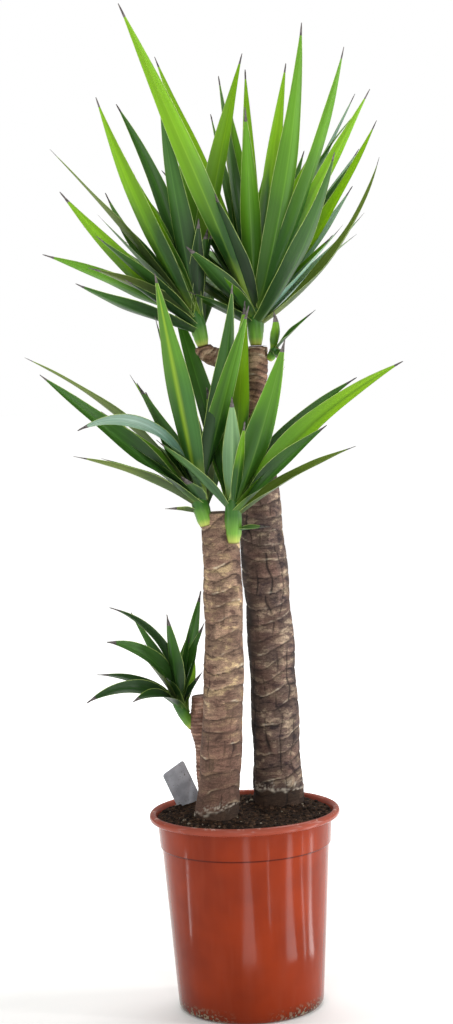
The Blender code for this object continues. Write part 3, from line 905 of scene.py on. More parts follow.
@dataclass(frozen=True)
class BarkRelief:
    """The relief of a yucca's bark: rings of old leaf scars, plates between them and cracks down the plates."""

    scar_pitch: float = 0.021
    scar_depth: float = 0.0011
    lip_rise: float = 0.0010
    wander: float = 0.55
    crack_spacing: float = 0.019
    crack_depth: float = 0.0008
    crack_share: float = 0.45
    lump: float = 0.0012
    sag: float = 0.28
    place: float = 0.0
    foot_ring: float = 0.0
    foot_tilt: float = 0.0
    chalky: float = 0.1
    grime: float = 0.0
    grime_turn: float = 190.0
    pink_below: float = 0.0

    CROSSING = 1.37
    SCAR_WIDTH = 0.0013
    LIP_OFFSET = 0.0021
    LIP_WIDTH = 0.0009
    CRACK_WIDTH = 0.0011
    RING_WIDTH = 0.0016
    RING_RISE = 0.0009
    DAMP_SINK = 0.0005
    DAMP_FADE = 0.002
    GRIME_WIDTH = 0.75
    PINK_FADE = 0.08

    def at(self, turn: float, height: float, radius: float) -> Relief:
        """The bark at one point of a cane.

        Args:
            turn: The angle round the cane, in radians.
            height: The height above the cane's foot, in metres.
            radius: The cane's radius there, in metres.

        Returns:
            Its relief.
        """
        spot = Vector((math.cos(turn) * radius + self.place, math.sin(turn) * radius, height))
        lump = noise.noise(spot / 0.034) * self.lump
        bend = noise.noise(Vector((spot.x, spot.y, height * 0.5)) / 0.05) * self.wander
        bend += 0.08 * noise.noise(spot / 0.008)
        # Two families of sagging scars cross, which leaves lens-shaped plates between them.
        first = height / self.scar_pitch + bend + self.sag * math.sin(2 * turn + self.place * 40)
        second = height / (self.CROSSING * self.scar_pitch) - bend - self.sag * math.sin(2 * turn + self.place * 17)
        ring = math.floor(first)
        above = (first - ring) * self.scar_pitch
        # Each scar is sunk and painted dark, partly its own colour and partly painted shade in it.
        worn = self.patch(Vector((spot.x, spot.y, ring * 0.9)), 0.03, 1.1, 0.6)
        crease = self.line(min(above, self.scar_pitch - above), self.SCAR_WIDTH) * worn
        other = math.floor(second)
        over = (second - other) * self.CROSSING * self.scar_pitch
        faint = self.patch(Vector((spot.x, spot.y + 5, other * 0.9)), 0.03, 1.5, 0.2)
        beside = min(over, self.CROSSING * self.scar_pitch - over)
        crease = max(crease, self.line(beside, 0.8 * self.SCAR_WIDTH) * faint)
        # The lip above each scar is raised and painted pale, partly its own colour and partly a painted highlight
        # along it.
        edge = self.patch(Vector((spot.x + 3, spot.y, ring * 1.3)), 0.026, 1.8, -0.05)
        lip = self.line(above - self.LIP_OFFSET, self.LIP_WIDTH) * edge
        # Cracks run on up the cane through several rings, and fade out and come back. They are sunk and painted dark,
        # partly their own colour and partly painted shade in them.
        cells = max(3, round(math.tau * radius / self.crack_spacing))
        cell = turn / math.tau * cells + 0.5 * noise.noise(Vector((turn * 2, height / 0.03, self.place)))
        number = math.floor(cell)
        beside = abs(cell - number - 0.5) * math.tau * radius / cells
        open_here = noise.noise(Vector((number % cells * 1.7, height / 0.045, self.place * 3)))
        crack = self.line(beside, self.CRACK_WIDTH) * self.share(open_here * 3 + 3 * self.crack_share - 0.9)
        bulge = 0.35 * self.scar_depth * (1 - (2 * above / self.scar_pitch - 1) ** 2)
        chalk = lip * self.patch(spot, 0.006, 2, self.chalky)
        rise = lump + bulge - self.scar_depth * crease - self.crack_depth * crack + self.lip_rise * lip
        damp = 0.0
        if self.foot_ring:
            swell, lime, damp = self.foot(spot, turn, height)
            rise += swell
            chalk = max(chalk, lime)
        # Painted shade darkens one side of the cane, the side where a neighbouring cane stands in its light.
        stain = 0.0
        if self.grime:
            beside = math.remainder(turn - math.radians(self.grime_turn), math.tau)
            stain = self.share(self.grime * self.line(beside, self.GRIME_WIDTH) * (1.0 + noise.noise(spot / 0.02)))
        # Each ring is painted palest just above its scar and darker up to the next one, which is painted shade under
        # the next scar, and plates differ in tone at random.
        tone = 0.45 * noise.cell(Vector((number % cells + 0.5, ring + 40.5, 1.5)))
        tone += 0.55 * (1 - above / self.scar_pitch) ** 0.8
        pink = 0.0
        if self.pink_below:
            pink = self.share((self.pink_below - height) / self.PINK_FADE + 0.5 + noise.noise(spot / 0.03))
        return Relief(rise, max(crease, crack), lip * 0.75, chalk, pink * 0.8, damp, stain, tone)

    def foot(self, spot: Vector, turn: float, height: float) -> tuple[float, float, float]:
        """The ring that watering leaves round a cane's foot, and the damp bark under it.

        Args:
            spot: The point, moved to the cane's own place in the noise.
            turn: The angle round the cane, in radians.
            height: The height above the cane's foot, in metres.

        Returns:
            What the ring adds to the bark's height, the lime on it and the damp under it.
        """
        line = self.foot_ring + self.foot_tilt * math.cos(turn) + 0.005 * noise.noise(spot / 0.014)
        line += 0.002 * noise.noise(spot / 0.006)
        damp = self.share((line - height) / self.DAMP_FADE + 0.5)
        collar = self.line(height - line, self.RING_WIDTH)
        # Lime has dried on the ring, and in flakes up to 10 mm above it on part of the cane.
        flakes = self.patch(spot, 0.022, 4) * self.patch(spot, 0.0028, 3) * self.line(height - line - 0.004, 0.006)
        lime = max(flakes, collar * self.patch(spot, 0.005, 1.8, 0.4))
        return self.RING_RISE * collar - self.DAMP_SINK * damp, lime, damp

    def patch(self, place: Vector, size: float, gain: float, offset: float = 0.0) -> float:
        """How much of a patchwork of a given size lies at a place, from 0 to 1."""
        return self.share(noise.noise(place / size) * gain + offset)

    @staticmethod
    def line(off: float, width: float) -> float:
        """How strongly a line of a given width shows at a distance from its middle, from 0 to 1."""
        return math.exp(-((off / width) ** 2))

    @staticmethod
    def share(value: float) -> float:
        """The value kept between 0 and 1."""
        return min(1.0, max(0.0, value))


@dataclass(frozen=True)
class BarkTube:
    """Anything round with bark on it, in place of the model's node of the same name."""

    name: str
    relief: BarkRelief
    finish: BarkFinish

    GRAIN = 0.0017

    def section(self, share: float) -> tuple[Vector, Matrix, float]:
        """The middle, the turn and the radius at a share of the length. Each kind of tube has its own."""
        raise NotImplementedError

    def length(self) -> float:
        """The length along the tube, in metres."""
        raise NotImplementedError

    def build(self) -> bpy.types.Object:
        """Rolls a fine grid into the tube, raises its bark and closes its ends.

        Returns:
            The tube's piece.
        """
        bm = bmesh.new()
        layers = {key: bm.verts.layers.float.new(key) for key in Relief._fields[1:]}
        bm.loops.layers.uv.new("UVMap")
        widest = self.section(0.0)[2]
        around = max(24, round(math.tau * widest / self.GRAIN))
        rows = max(12, round(self.length() / self.GRAIN))
        bmesh.ops.create_grid(bm, x_segments=around, y_segments=rows, size=0.5, calc_uvs=True)
        sections = [self.section(row / rows) for row in range(rows + 1)]
        for vertex in bm.verts:
            row = round((vertex.co.y + 0.5) * rows)
            turn = math.tau * (round((vertex.co.x + 0.5) * around) % around) / around
            middle, turned, radius = sections[row]
            height = row / rows * self.length()
            bark = self.relief.at(turn, height, radius)
            radius += bark.rise
            vertex.co = middle + turned @ Vector((radius * math.cos(turn), radius * math.sin(turn), 0.0))
            for key, layer in layers.items():
                vertex[layer] = getattr(bark, key)
        bmesh.ops.remove_doubles(bm, verts=bm.verts, dist=SEAM)
        close_ends(bm)
        piece = finish_piece(bm, f"{self.name}_bark", [self.finish.material()], 60.0)
        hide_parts(self.name)
        return piece


@dataclass(frozen=True)
class Cane(BarkTube):
    """A bare cane from its flat cut at the compost to its sawn top."""

    foot: tuple[float, float] = (0.0, 0.0)
    top: tuple[float, float, float] = (0.0, 0.0, 1.0)
    foot_radius: float = 0.03
    top_radius: float = 0.03
    bulge: float = 0.0
    phase: float = 0.0
    knob: float = 0.0
    knob_height: float = 0.0
    knob_bearing: float = 180.0

    SWELL = 0.025
    SWELL_PITCH = 0.105
    FLARE = 0.07
    FLARE_HEIGHT = 0.03
    KNOB_REACH = 0.022

    def length(self) -> float:
        """The cane's height above the compost."""
        return self.top[2] - GROUND

    def section(self, share: float) -> tuple[Vector, Matrix, float]:
        """The cane's middle, turn and radius at a share of its height, by the model's rule."""
        foot = Vector((*self.foot, GROUND))
        middle = foot.lerp(Vector(self.top), share) + Vector((self.bulge * math.sin(math.pi * share), 0, 0))
        height = share * self.length()
        growth = self.knob / 2 * math.exp(-(((height - self.knob_height) / self.KNOB_REACH) ** 2))
        middle += direction(self.knob_bearing, 90) * growth
        taper = self.foot_radius + share * (self.top_radius - self.foot_radius)
        swelling = self.SWELL * math.sin(math.tau * height / self.SWELL_PITCH + self.phase)
        flare = self.FLARE * math.exp(-height / self.FLARE_HEIGHT)
        return middle, Matrix.Identity(3), taper * (1 + swelling + flare) + growth


@dataclass(frozen=True)
class Limb(BarkTube):
    """A woody side branch along a smooth curve between its two ends."""

    start: tuple[float, float, float] = (0.0, 0.0, 0.0)
    leaves: tuple[float, float, float] = (0.0, 0.0, 1.0)
    end: tuple[float, float, float] = (0.0, 0.0, 1.0)
    points: tuple[float, float, float] = (0.0, 0.0, 1.0)
    start_radius: float = 0.015
    end_radius: float = 0.015

    def length(self) -> float:
        """The straight length between the limb's ends."""
        return (Vector(self.end) - Vector(self.start)).length

    def section(self, share: float) -> tuple[Vector, Matrix, float]:
        """The limb's middle, turn and radius at a share of its length, by the model's rule."""
        start, end = Vector(self.start), Vector(self.end)
        leaving = Vector(self.leaves).normalized() * self.length()
        arriving = Vector(self.points).normalized() * self.length()
        square, cube = share**2, share**3
        middle = (
            (2 * cube - 3 * square + 1) * start
            + (cube - 2 * square + share) * leaving
            + (3 * square - 2 * cube) * end
            + (cube - square) * arriving
        )
        axis = (
            (6 * square - 6 * share) * start
            + (3 * square - 4 * share + 1) * leaving
            + (6 * share - 6 * square) * end
            + (3 * square - 2 * share) * arriving
        )
        turned = axis.normalized().to_track_quat("Z", "Y").to_matrix()
        return middle, turned, self.start_radius + share * (self.end_radius - self.start_radius)


@dataclass(frozen=True)
class Pot:
    """The moulded nursery pot: tapering body, stepped collar, rolled rim and drain holes in a flat base."""

    rim_radius: float = 0.135
    height: float = 0.282
    base_radius: float = 0.1025
    wall: float = 0.0022
    rim_height: float = 0.011
    rim_lip: float = 0.0105
    collar_top: float = 0.1236
    collar_foot_height: float = 0.233
    collar_foot: float = 0.1208
    collar_step: float = 0.0026
    base_round: float = 0.010
    drain_holes: int = 8
    drain_radius: float = 0.006
    drain_circle: float = 0.076
    steps: int = 160
    ripple: float = 0.00024
    sharp: float = 32.0

    def wall_radius(self, height: float) -> float:
        """The outer radius at a height, from the base to the top of the collar."""
        if height <= self.collar_foot_height:
            share = height / self.collar_foot_height
            return self.base_radius + share * (self.collar_foot - self.collar_step - self.base_radius)
        share = (height - self.collar_foot_height) / (self.height - self.rim_height - self.collar_foot_height)
        return self.collar_foot + share * (self.collar_top - self.collar_foot)

    def profile(self) -> list[tuple[float, float]]:
        """The section from the middle of the underside, out and up round the rim, and down inside.

        Returns:
            Its (radius, height) points.
        """
        under_rim = self.height - self.rim_height
        foot = [
            (
                self.wall_radius(self.base_round) - self.base_round * (1 - math.sin(turn)),
                self.base_round * (1 - math.cos(turn)),
            )
            for turn in (math.radians(angle) for angle in range(0, 91, 18))
        ]
        body = [
            (self.wall_radius(share * self.collar_foot_height), share * self.collar_foot_height)
            for share in (0.06, 0.12, 0.25, 0.4, 0.55, 0.7, 0.85, 0.95, 1.0)
        ]
        groove = self.collar_foot_height
        collar = [
            (self.wall_radius(groove) - 0.0004, groove + 0.0004),
            (self.collar_foot - 0.0008, groove + 0.0006),
            (self.collar_foot, groove + 0.0014),
            (self.wall_radius(groove + 0.012), groove + 0.012),
            (self.wall_radius(groove + 0.026), groove + 0.026),
            (self.collar_top - 0.0003, under_rim - 0.0006),
        ]
        middle = self.rim_radius - self.rim_lip / 2
        bead = [
            (
                middle + self.rim_lip / 2 * math.cos(turn),
                self.height - self.rim_height / 2 + self.rim_height / 2 * math.sin(turn),
            )
            for turn in (math.radians(angle) for angle in range(-62, 160, 13))
        ]
        step = self.collar_foot_height + self.collar_step
        inner = [
            (self.wall_radius(under_rim) - self.wall, under_rim),
            (self.wall_radius(step) - self.wall, step),
            (self.wall_radius(self.collar_foot_height) - self.wall, self.collar_foot_height),
            (self.wall_radius(self.base_round) - self.wall, self.base_round),
            (self.base_radius - self.base_round, self.wall),
        ]
        flat = [(0.0, 0.0), (self.drain_circle, 0.0)]
        return flat + foot + body + collar + bead + inner + [(0.0, self.wall)]

    def drill(self) -> bpy.types.Object:
        """Makes the round cutters of the drain holes."""
        bm = bmesh.new()
        for hole in range(self.drain_holes):
            turn = math.tau * (hole + 0.5) / self.drain_holes
            centre = Vector((self.drain_circle * math.cos(turn), self.drain_circle * math.sin(turn), 0.0))
            bmesh.ops.create_cone(
                bm, cap_ends=True, segments=20, radius1=self.drain_radius, radius2=self.drain_radius,
                depth=4 * self.wall, matrix=Matrix.Translation(centre)
            )
        return place_object("drill", meshed(bm, "drill"))

    def build(self) -> bpy.types.Object:
        """Spins the profile, ripples the wall as moulding leaves it and drills the base.

        Returns:
            The pot's piece.
        """
        bm = bmesh.new()
        points = [bm.verts.new((radius, 0.0, height)) for radius, height in self.profile()]
        edges = [bm.edges.new(pair) for pair in zip(points, points[1:])]
        bmesh.ops.spin(
            bm, geom=points + edges, cent=(0, 0, 0), axis=(0, 0, 1), angle=math.tau, steps=self.steps,
            use_merge=True, use_duplicate=False
        )
        bmesh.ops.remove_doubles(bm, verts=bm.verts, dist=SEAM)
        bmesh.ops.recalc_face_normals(bm, faces=bm.faces)
        for vertex in bm.verts:
            self.bend(vertex)
        piece = finish_piece(bm, "pot_shell", [PotFinish().material()], self.sharp)
        cutter = self.drill()
        step = piece.modifiers.new("drain", "BOOLEAN")
        step.operation, step.object = "DIFFERENCE", cutter
        graph = bpy.context.evaluated_depsgraph_get()
        piece.data = bpy.data.meshes.new_from_object(piece.evaluated_get(graph))
        piece.modifiers.clear()
        bpy.data.objects.remove(cutter, do_unlink=True)
        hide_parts("pot")
        return piece

    def bend(self, vertex: bmesh.types.BMVert) -> None:
        """Moves a point of the wall in or out by the ripple there. The base stays flat."""
        radius = math.hypot(vertex.co.x, vertex.co.y)
        if radius < self.base_radius * 0.9 or vertex.co.z < self.base_round / 2:
            return
        turn = math.atan2(vertex.co.y, vertex.co.x)
        around = Vector((math.cos(turn), math.sin(turn), vertex.co.z * 0.9))
        shift = self.ripple * (noise.noise(around * 5.0) + 0.6 * noise.noise(around * 11.0))
        vertex.co.x += shift * math.cos(turn)
        vertex.co.y += shift * math.sin(turn)


@dataclass(frozen=True)
class Compost:
    """The compost that fills the pot, rough on top, heaped a little against the canes, with crumbs and fibres."""

    feet: tuple[tuple[float, float, float], ...]
    pot: Pot = Pot()
    segments: int = 110
    rough: float = 0.0034
    edge: float = 0.1228
    mound: float = 0.0045
    mound_width: float = 0.012
    calm_width: float = 0.006
    crumbs: int = 1700
    fibres: int = 240
    seed: int = 11

    # How many of the crumbs are peat, bark and lime.
    CRUMB_SHARES = (0.58, 0.38, 0.04)
    CRUMB_LEAST = 0.0007
    CRUMB_MORE = 0.0032
    FIBRE_LENGTHS = (0.004, 0.014)
    FIBRE_RADII = (0.00025, 0.0005)
    FIBRE_LIFT = 0.0012

    def surface(self, x: float, y: float) -> float:
        """The height of the compost at a place.

        Args:
            x: Metres to the right.
            y: Metres away.

        Returns:
            The height in metres.
        """
        spot = Vector((x, y, 0.0))
        rise = self.rough * (noise.noise(spot / 0.016) + 0.6 * noise.noise(spot / 0.005))
        for foot_x, foot_y, foot_radius in self.feet:
            beside = max(0.0, math.hypot(x - foot_x, y - foot_y) - foot_radius)
            rise += self.mound * math.exp(-((beside / self.mound_width) ** 2))
        calm = min(1.0, max(0.0, (self.edge - math.hypot(x, y)) / self.calm_width))
        return SOIL_TOP + rise * (0.3 + 0.7 * calm)

    def bed(self) -> bpy.types.Object:
        """Makes the bed: a rough round top, and sides that follow the pot down to its floor."""
        bm = bmesh.new()
        bmesh.ops.create_grid(bm, x_segments=self.segments, y_segments=self.segments, size=1.0)
        for vertex in bm.verts:
            x, y = vertex.co.x, vertex.co.y
            across, away = x * math.sqrt(1 - y * y / 2) * self.edge, y * math.sqrt(1 - x * x / 2) * self.edge
            vertex.co = Vector((across, away, self.surface(across, away)))
        rim = [edge for edge in bm.edges if edge.is_boundary]
        pot = self.pot
        under_rim, groove = pot.height - pot.rim_height, pot.collar_foot_height
        inset = pot.wall + GAP
        levels = [(pot.wall_radius(level) - inset, level) for level in (under_rim, groove + pot.collar_step, groove)]
        levels.append((pot.wall_radius(pot.base_round) - inset, pot.base_round))
        levels.append((pot.base_radius - pot.base_round - GAP, inset))
        for radius, height in levels:
            made = bmesh.ops.extrude_edge_only(bm, edges=rim)["geom"]
            rim = [item for item in made if isinstance(item, bmesh.types.BMEdge)]
            rim = [edge for edge in rim if edge.is_boundary]
            for vertex in {vertex for edge in rim for vertex in edge.verts}:
                turn = math.atan2(vertex.co.y, vertex.co.x)
                vertex.co = Vector((radius * math.cos(turn), radius * math.sin(turn), height))
        bmesh.ops.edgeloop_fill(bm, edges=rim)
        bmesh.ops.recalc_face_normals(bm, faces=bm.faces)
        peat = CrumbFinish("damp_peat", "#3f2a1b", "#0b0705", 0.006).material()
        piece = finish_piece(bm, "compost_bed", [peat])
        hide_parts("soil")
        return piece

    def places(self, chance: random.Random, count: int) -> Iterator[Vector]:
        """Random places on the compost, clear of the canes and the pot's wall."""
        found = 0
        while found < count:
            turn, radius = chance.uniform(0, math.tau), self.edge * 0.975 * math.sqrt(chance.random())
            x, y = radius * math.cos(turn), radius * math.sin(turn)
            if all(math.hypot(x - foot[0], y - foot[1]) > foot[2] for foot in self.feet):
                found += 1
                yield Vector((x, y, self.surface(x, y)))

    def litter(self) -> None:
        """Scatters crumbs of peat and bark, and fibres, over the compost."""
        chance = random.Random(self.seed)
        bm = bmesh.new()
        for spot in self.places(chance, self.crumbs):
            size = self.CRUMB_LEAST + self.CRUMB_MORE * chance.random() ** 2
            shape = Matrix.Diagonal((1.0, chance.uniform(0.6, 1.0), chance.uniform(0.5, 0.9), 1.0))
            turn = Matrix.Rotation(chance.uniform(0, math.tau), 4, "Z")
            turn = turn @ Matrix.Rotation(chance.uniform(-0.6, 0.6), 4, "X")
            before = len(bm.faces)
            bmesh.ops.create_icosphere(bm, subdivisions=1, radius=size, matrix=Matrix.Translation(spot) @ turn @ shape)
            bm.faces.ensure_lookup_table()
            slot = chance.choices((0, 1, 2), self.CRUMB_SHARES)[0]
            for face in bm.faces[before:]:
                face.material_index = slot
        kinds = [
            CrumbFinish("peat_crumb", "#33251d", "#120c09", 0.002).material(),
            CrumbFinish("bark_crumb", "#6a5140", "#33251b", 0.002).material(),
            CrumbFinish("lime_crumb", "#a79d8c", "#756b5c", 0.002).material(),
        ]
        finish_piece(bm, "compost_crumbs", kinds, 30.0)
        bm = bmesh.new()
        for spot in self.places(chance, self.fibres):
            length, thick = chance.uniform(*self.FIBRE_LENGTHS), chance.uniform(*self.FIBRE_RADII)
            turn = Matrix.Rotation(chance.uniform(0, math.tau), 4, "Z") @ Matrix.Rotation(math.radians(80), 4, "X")
            lie = Matrix.Translation(spot + Vector((0, 0, self.FIBRE_LIFT)))
            bmesh.ops.create_cone(
                bm, cap_ends=True, segments=5, radius1=thick, radius2=thick * 0.4, depth=length, matrix=lie @ turn
            )
        peat = CrumbFinish("peat_fibre", "#6f5a42", "#43352a", 0.003).material()
        finish_piece(bm, "compost_fibres", [peat])


class Studio:
    """The camera at the photograph's angle, a pale floor and soft light."""

    CAMERA_PLACE = Vector((-0.009, -3.0, 0.933))
    PITCH = -4.37
    ROLL = -2.23
    LENS = 75.5
    SENSOR = 36.0
    FLOOR_SIZE = 60.0
    FLOOR_LIGHT = 0.8
    AIM = Vector((0.0, 0.0, 0.7))
    STREAK_HEIGHT = 0.002
    # Each streak's azimuth, where it starts and ends, its width and its power.
    STREAKS = (
        (-84, 0.4, 0.75, 0.035, 0.3),
        (0, 0.3, 0.9, 0.10, 0.75),
        (28, 0.45, 0.8, 0.025, 0.16),
        (56, 0.3, 0.9, 0.10, 1.1),
        (78, 0.3, 0.9, 0.02, 0.3),
        (92, 0.3, 0.9, 0.05, 0.9),
    )

    def camera(self) -> None:
        """Sets the camera up, pitched down a little and rolled as the photograph is."""
        lens = bpy.data.cameras.new("camera")
        lens.sensor_width, lens.lens = self.SENSOR, self.LENS
        tilt = Matrix.Rotation(math.radians(90 + self.PITCH), 4, "X")
        roll = Matrix.Rotation(math.radians(self.ROLL), 4, "Z")
        where = Matrix.Translation(self.CAMERA_PLACE) @ tilt @ roll
        bpy.context.scene.camera = place_object("camera", lens, where)

    @staticmethod
    def lamp(name: str, size: tuple[float, float], power: float, where: Matrix) -> bpy.types.Object:
        """Makes a rectangular light.

        Args:
            name: Its name.
            size: Its width and height in metres.
            power: Its power in watts.
            where: Where it goes. It shines along its own -Z.

        Returns:
            The light's object.
        """
        light = bpy.data.lights.new(name, "AREA")
        light.shape, light.size, light.size_y, light.energy = "RECTANGLE", *size, power
        return place_object(name, light, where)

    def softbox(
        self, name: str, azimuth: float, distance: float, height: float, size: tuple[float, float], power: float
    ) -> None:
        """Hangs a softbox that faces the plant.

        Args:
            name: The light's name.
            azimuth: Degrees to the right of the camera's side, seen from the plant.
            distance: Metres from the plant's axis.
            height: Metres above the floor.
            size: Its width and height in metres.
            power: Its power in watts.
        """
        turn = math.radians(azimuth)
        place = Vector((distance * math.sin(turn), -distance * math.cos(turn), height))
        aim = (self.AIM - place).to_track_quat("-Z", "Y")
        self.lamp(name, size, power, Matrix.Translation(place) @ aim.to_matrix().to_4x4())

    def streak(self, name: str, azimuth: float, reach: tuple[float, float], width: float, power: float) -> None:
        """Lays a strip of light on the floor, out from the pot, which shows in the pot's gloss as an upright line.

        Args:
            name: The light's name.
            azimuth: Degrees to the right of the camera's side, seen from the plant.
            reach: How far from the plant's axis it starts and ends, in metres.
            width: Its width in metres.
            power: Its power in watts.
        """
        out = Matrix.Rotation(math.radians(azimuth), 4, "Z")
        middle = Matrix.Translation((0.0, -sum(reach) / 2, self.STREAK_HEIGHT))
        facing_up = Matrix.Rotation(math.pi, 4, "X")
        strip = self.lamp(name, (width, reach[1] - reach[0]), power, out @ middle @ facing_up)
        strip.visible_camera = False

    def floor(self) -> None:
        """Lays the pale floor."""
        bm = bmesh.new()
        bmesh.ops.create_grid(bm, x_segments=1, y_segments=1, size=self.FLOOR_SIZE / 2)
        mesh = meshed(bm, "floor")
        made, tree, shader = blank_material("painted_floor")
        place = add(tree, "ShaderNodeTexCoord").outputs["Object"]
        away = add(tree, "ShaderNodeVectorMath", {"operation": "LENGTH"}, in_0=place).outputs["Value"]
        # Beyond the plant's own light the floor is lit up to the backdrop's white.
        lit = product(tree, Span(away, 0.35, 1.6, 0.12, self.FLOOR_LIGHT))
        wire(shader, Base_Color=linear("#f4f4f2"), Roughness=0.9, Emission_Color=WHITE, Emission_Strength=lit)
        mesh.materials.append(made)
        floor = place_object("floor", mesh)
        floor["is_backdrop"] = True

    def sky(self) -> None:
        """Gives the room its soft light, and a white backdrop that lights nothing."""
        world = bpy.data.worlds.new("room")
        world.use_nodes = True
        tree = world.node_tree
        tree.nodes.clear()
        room = add(tree, "ShaderNodeBackground", Color=linear("#f6f6f4"), Strength=0.3)
        white = add(tree, "ShaderNodeBackground", Color=WHITE, Strength=1.0)
        seen = add(tree, "ShaderNodeLightPath").outputs["Is Camera Ray"]
        both = add(tree, "ShaderNodeMixShader", in_0=seen, in_1=room, in_2=white)
        add(tree, "ShaderNodeOutputWorld", Surface=both)
        bpy.context.scene.world = world

    def build(self) -> None:
        """Sets up the camera, the floor and the lights."""
        self.camera()
        self.floor()
        self.sky()
        self.softbox("window_right", 66, 2.6, 1.2, (0.16, 2.2), 20)
        self.softbox("window_far_right", 98, 2.6, 1.3, (0.4, 2.2), 26)
        self.softbox("strip_left", -84, 2.8, 1.2, (0.14, 2.0), 12)
        self.softbox("strip_front", 9, 3.4, 1.3, (0.14, 1.6), 14)
        self.softbox("high_front", -12, 3.2, 3.0, (1.2, 0.8), 34)
        for number, (azimuth, near, far, width, power) in enumerate(self.STREAKS):
            self.streak(f"floor_streak_{number}", azimuth, (near, far), width, power)
        self.softbox("sky_panel", 170, 1.6, 3.4, (2.6, 2.2), 82)
        bpy.context.scene.view_settings.view_transform = "Standard"


# Each tint's blade, shaded part, root, midrib and glow, how much light comes through it, and how strong and
# how wide its midrib is.
# The bright tints' yellow green stands for painted light through the leaves, the dark and deep ones for painted shade,
# and the pale sheen tint for a painted reflection of the sky.
LEAF_FINISHES = (
    LeafFinish(Tint.BRIGHT, "#65970b", "#2c5422", "#7f9c3c", "#98bc38", "#90c210", 0.30, 0.36),
    LeafFinish(Tint.MID, "#52861a", "#30581e", "#6f8f38", "#86b24a", "#74a61c", 0.24, 0.34),
    LeafFinish(Tint.DARK, "#30561c", "#25411d", "#557434", "#5c8c3c", "#4c8420", 0.15, 0.35),
    LeafFinish(Tint.DEEP, "#223e19", "#1d3418", "#46642c", "#3c6c30", "#386c1c", 0.10, 0.25),
    LeafFinish(Tint.GREY, "#4b6e3b", "#385734", "#688644", "#7fa864", "#6a943a", 0.17, 0.40, roughness=0.34),
    LeafFinish(Tint.OLIVE, "#5c6c30", "#43552e", "#70803c", "#93a850", "#7a9430", 0.18, 0.40),
    LeafFinish(Tint.SHEEN, "#98b5a6", "#6b9080", "#7ea05c", "#d0e0d4", "#88b070", 0.16, 0.40, roughness=0.28),
    LeafFinish(Tint.STRIPED, "#4c7c20", "#376428", "#7f9c3c", "#a3c034", "#7cac24", 0.22, 0.75, 0.11),
    LeafFinish(Tint.PALE, "#7fa274", "#6f9668", "#86a858", "#b0cc90", "#8cb85c", 0.22, 0.45),
    LeafFinish(Tint.KEELED, "#76a51c", "#4c8020", "#7f9c3c", "#2a541e", "#90c024", 0.26, 0.85, 0.14),
)
# The margin is about 0.4 mm of hard tissue on the plant, drawn 0.6 mm wide so that it shows in the picture.
MARGIN = PlainLeafPart("horny_leaf_margin", "#a3b862", "#768f42", 0.45, 0.01)
DRY_TIP = PlainLeafPart("dried_leaf_tip", "#6c6462", "#3b3634", 0.8, 0.004)

BR, MI, DA, DE, GR, OL, SH = Tint.BRIGHT, Tint.MID, Tint.DARK, Tint.DEEP, Tint.GREY, Tint.OLIVE, Tint.SHEEN
ST, PA, KE = Tint.STRIPED, Tint.PALE, Tint.KEELED

# The leaves that the photo tells apart. Each has its bearing, lean, bow, length, width, turn and tint.
TALL_LEFT_LEAVES = (
    Leaf(205, 30, -12, 0.343, 0.032, 40, BR),
    Leaf(150, 10, 22, 0.332, 0.029, -45, DA),
    Leaf(178, 35, 6, 0.321, 0.030, 15, OL),
    Leaf(200, 51, -12, 0.275, 0.029, 60, BR),
    Leaf(165, 44, -21, 0.235, 0.023, -45, GR),
    Leaf(190, 54, 17, 0.244, 0.031, 45, MI),
    Leaf(215, 73, -7, 0.215, 0.034, 25, DA),
    Leaf(130, 31, 0, 0.260, 0.028, 0, DA),
    Leaf(245, 17, 0, 0.305, 0.037, 0, DA),
    Leaf(110, 7, 0, 0.275, 0.034, 0, MI),
    Leaf(14, 9, 7, 0.376, 0.038, 45, BR),
    Leaf(281, 18, 0, 0.146, 0.026, 0, DE),
)
TALL_TOP_LEAVES = (
    Leaf(235, 32, 6, 0.502, 0.035, 40, BR),
    Leaf(125, 30, 0, 0.459, 0.040, 0, BR),
    Leaf(267, 14, 4, 0.293, 0.032, 0, MI),
    Leaf(75, 29, 8, 0.462, 0.030, 30, BR),
    Leaf(305, 29, -21, 0.419, 0.037, -15, MI),
    Leaf(325, 32, -16, 0.400, 0.034, -15, MI),
    Leaf(8, 25, 3, 0.347, 0.025, 25, SH),
    Leaf(335, 30, 2, 0.358, 0.034, -30, BR),
    Leaf(305, 56, -31, 0.303, 0.038, 0, DA),
    Leaf(345, 41, -14, 0.329, 0.032, 50, BR),
    Leaf(35, 47, -8, 0.270, 0.024, 20, SH),
    Leaf(358, 60, -44, 0.304, 0.032, 20, OL),
    Leaf(20, 45, 0, 0.175, 0.026, 20, MI),
    Leaf(111, 17, 0, 0.365, 0.021, 0, GR),
    Leaf(117, 21, 0, 0.318, 0.020, 0, GR),
    Leaf(90, 9, 0, 0.352, 0.026, 0, BR),
)
TALL_RIGHT_LEAVES = (
    Leaf(340, 44, 8, 0.087, 0.018, 30, DA),
    Leaf(320, 32, -60, 0.060, 0.024, 0, BR),
    Leaf(285, 60, 100, 0.045, 0.018, 0, DA),
)
MID_LEFT_LEAVES = (
    Leaf(170, 34, 29, 0.325, 0.030, 30, OL),
    Leaf(205, 48, 3, 0.300, 0.040, -60, DA),
    Leaf(222, 15, 95, 0.263, 0.034, -50, SH),
    Leaf(190, 53, 23, 0.195, 0.028, 25, OL),
    Leaf(185, 70, 16, 0.054, 0.018, 25, OL),
    Leaf(230, 40, 0, 0.060, 0.034, 0, GR),
    Leaf(140, 34, -7, 0.184, 0.026, -30, DA),
    Leaf(241, 17, 0, 0.326, 0.042, 10, ST),
    Leaf(334, 19, -14, 0.303, 0.036, -45, DA),
    Leaf(335, 17, 2, 0.279, 0.034, -45, MI),
    Leaf(155, 12.5, 0, 0.262, 0.030, 0, DE),
)
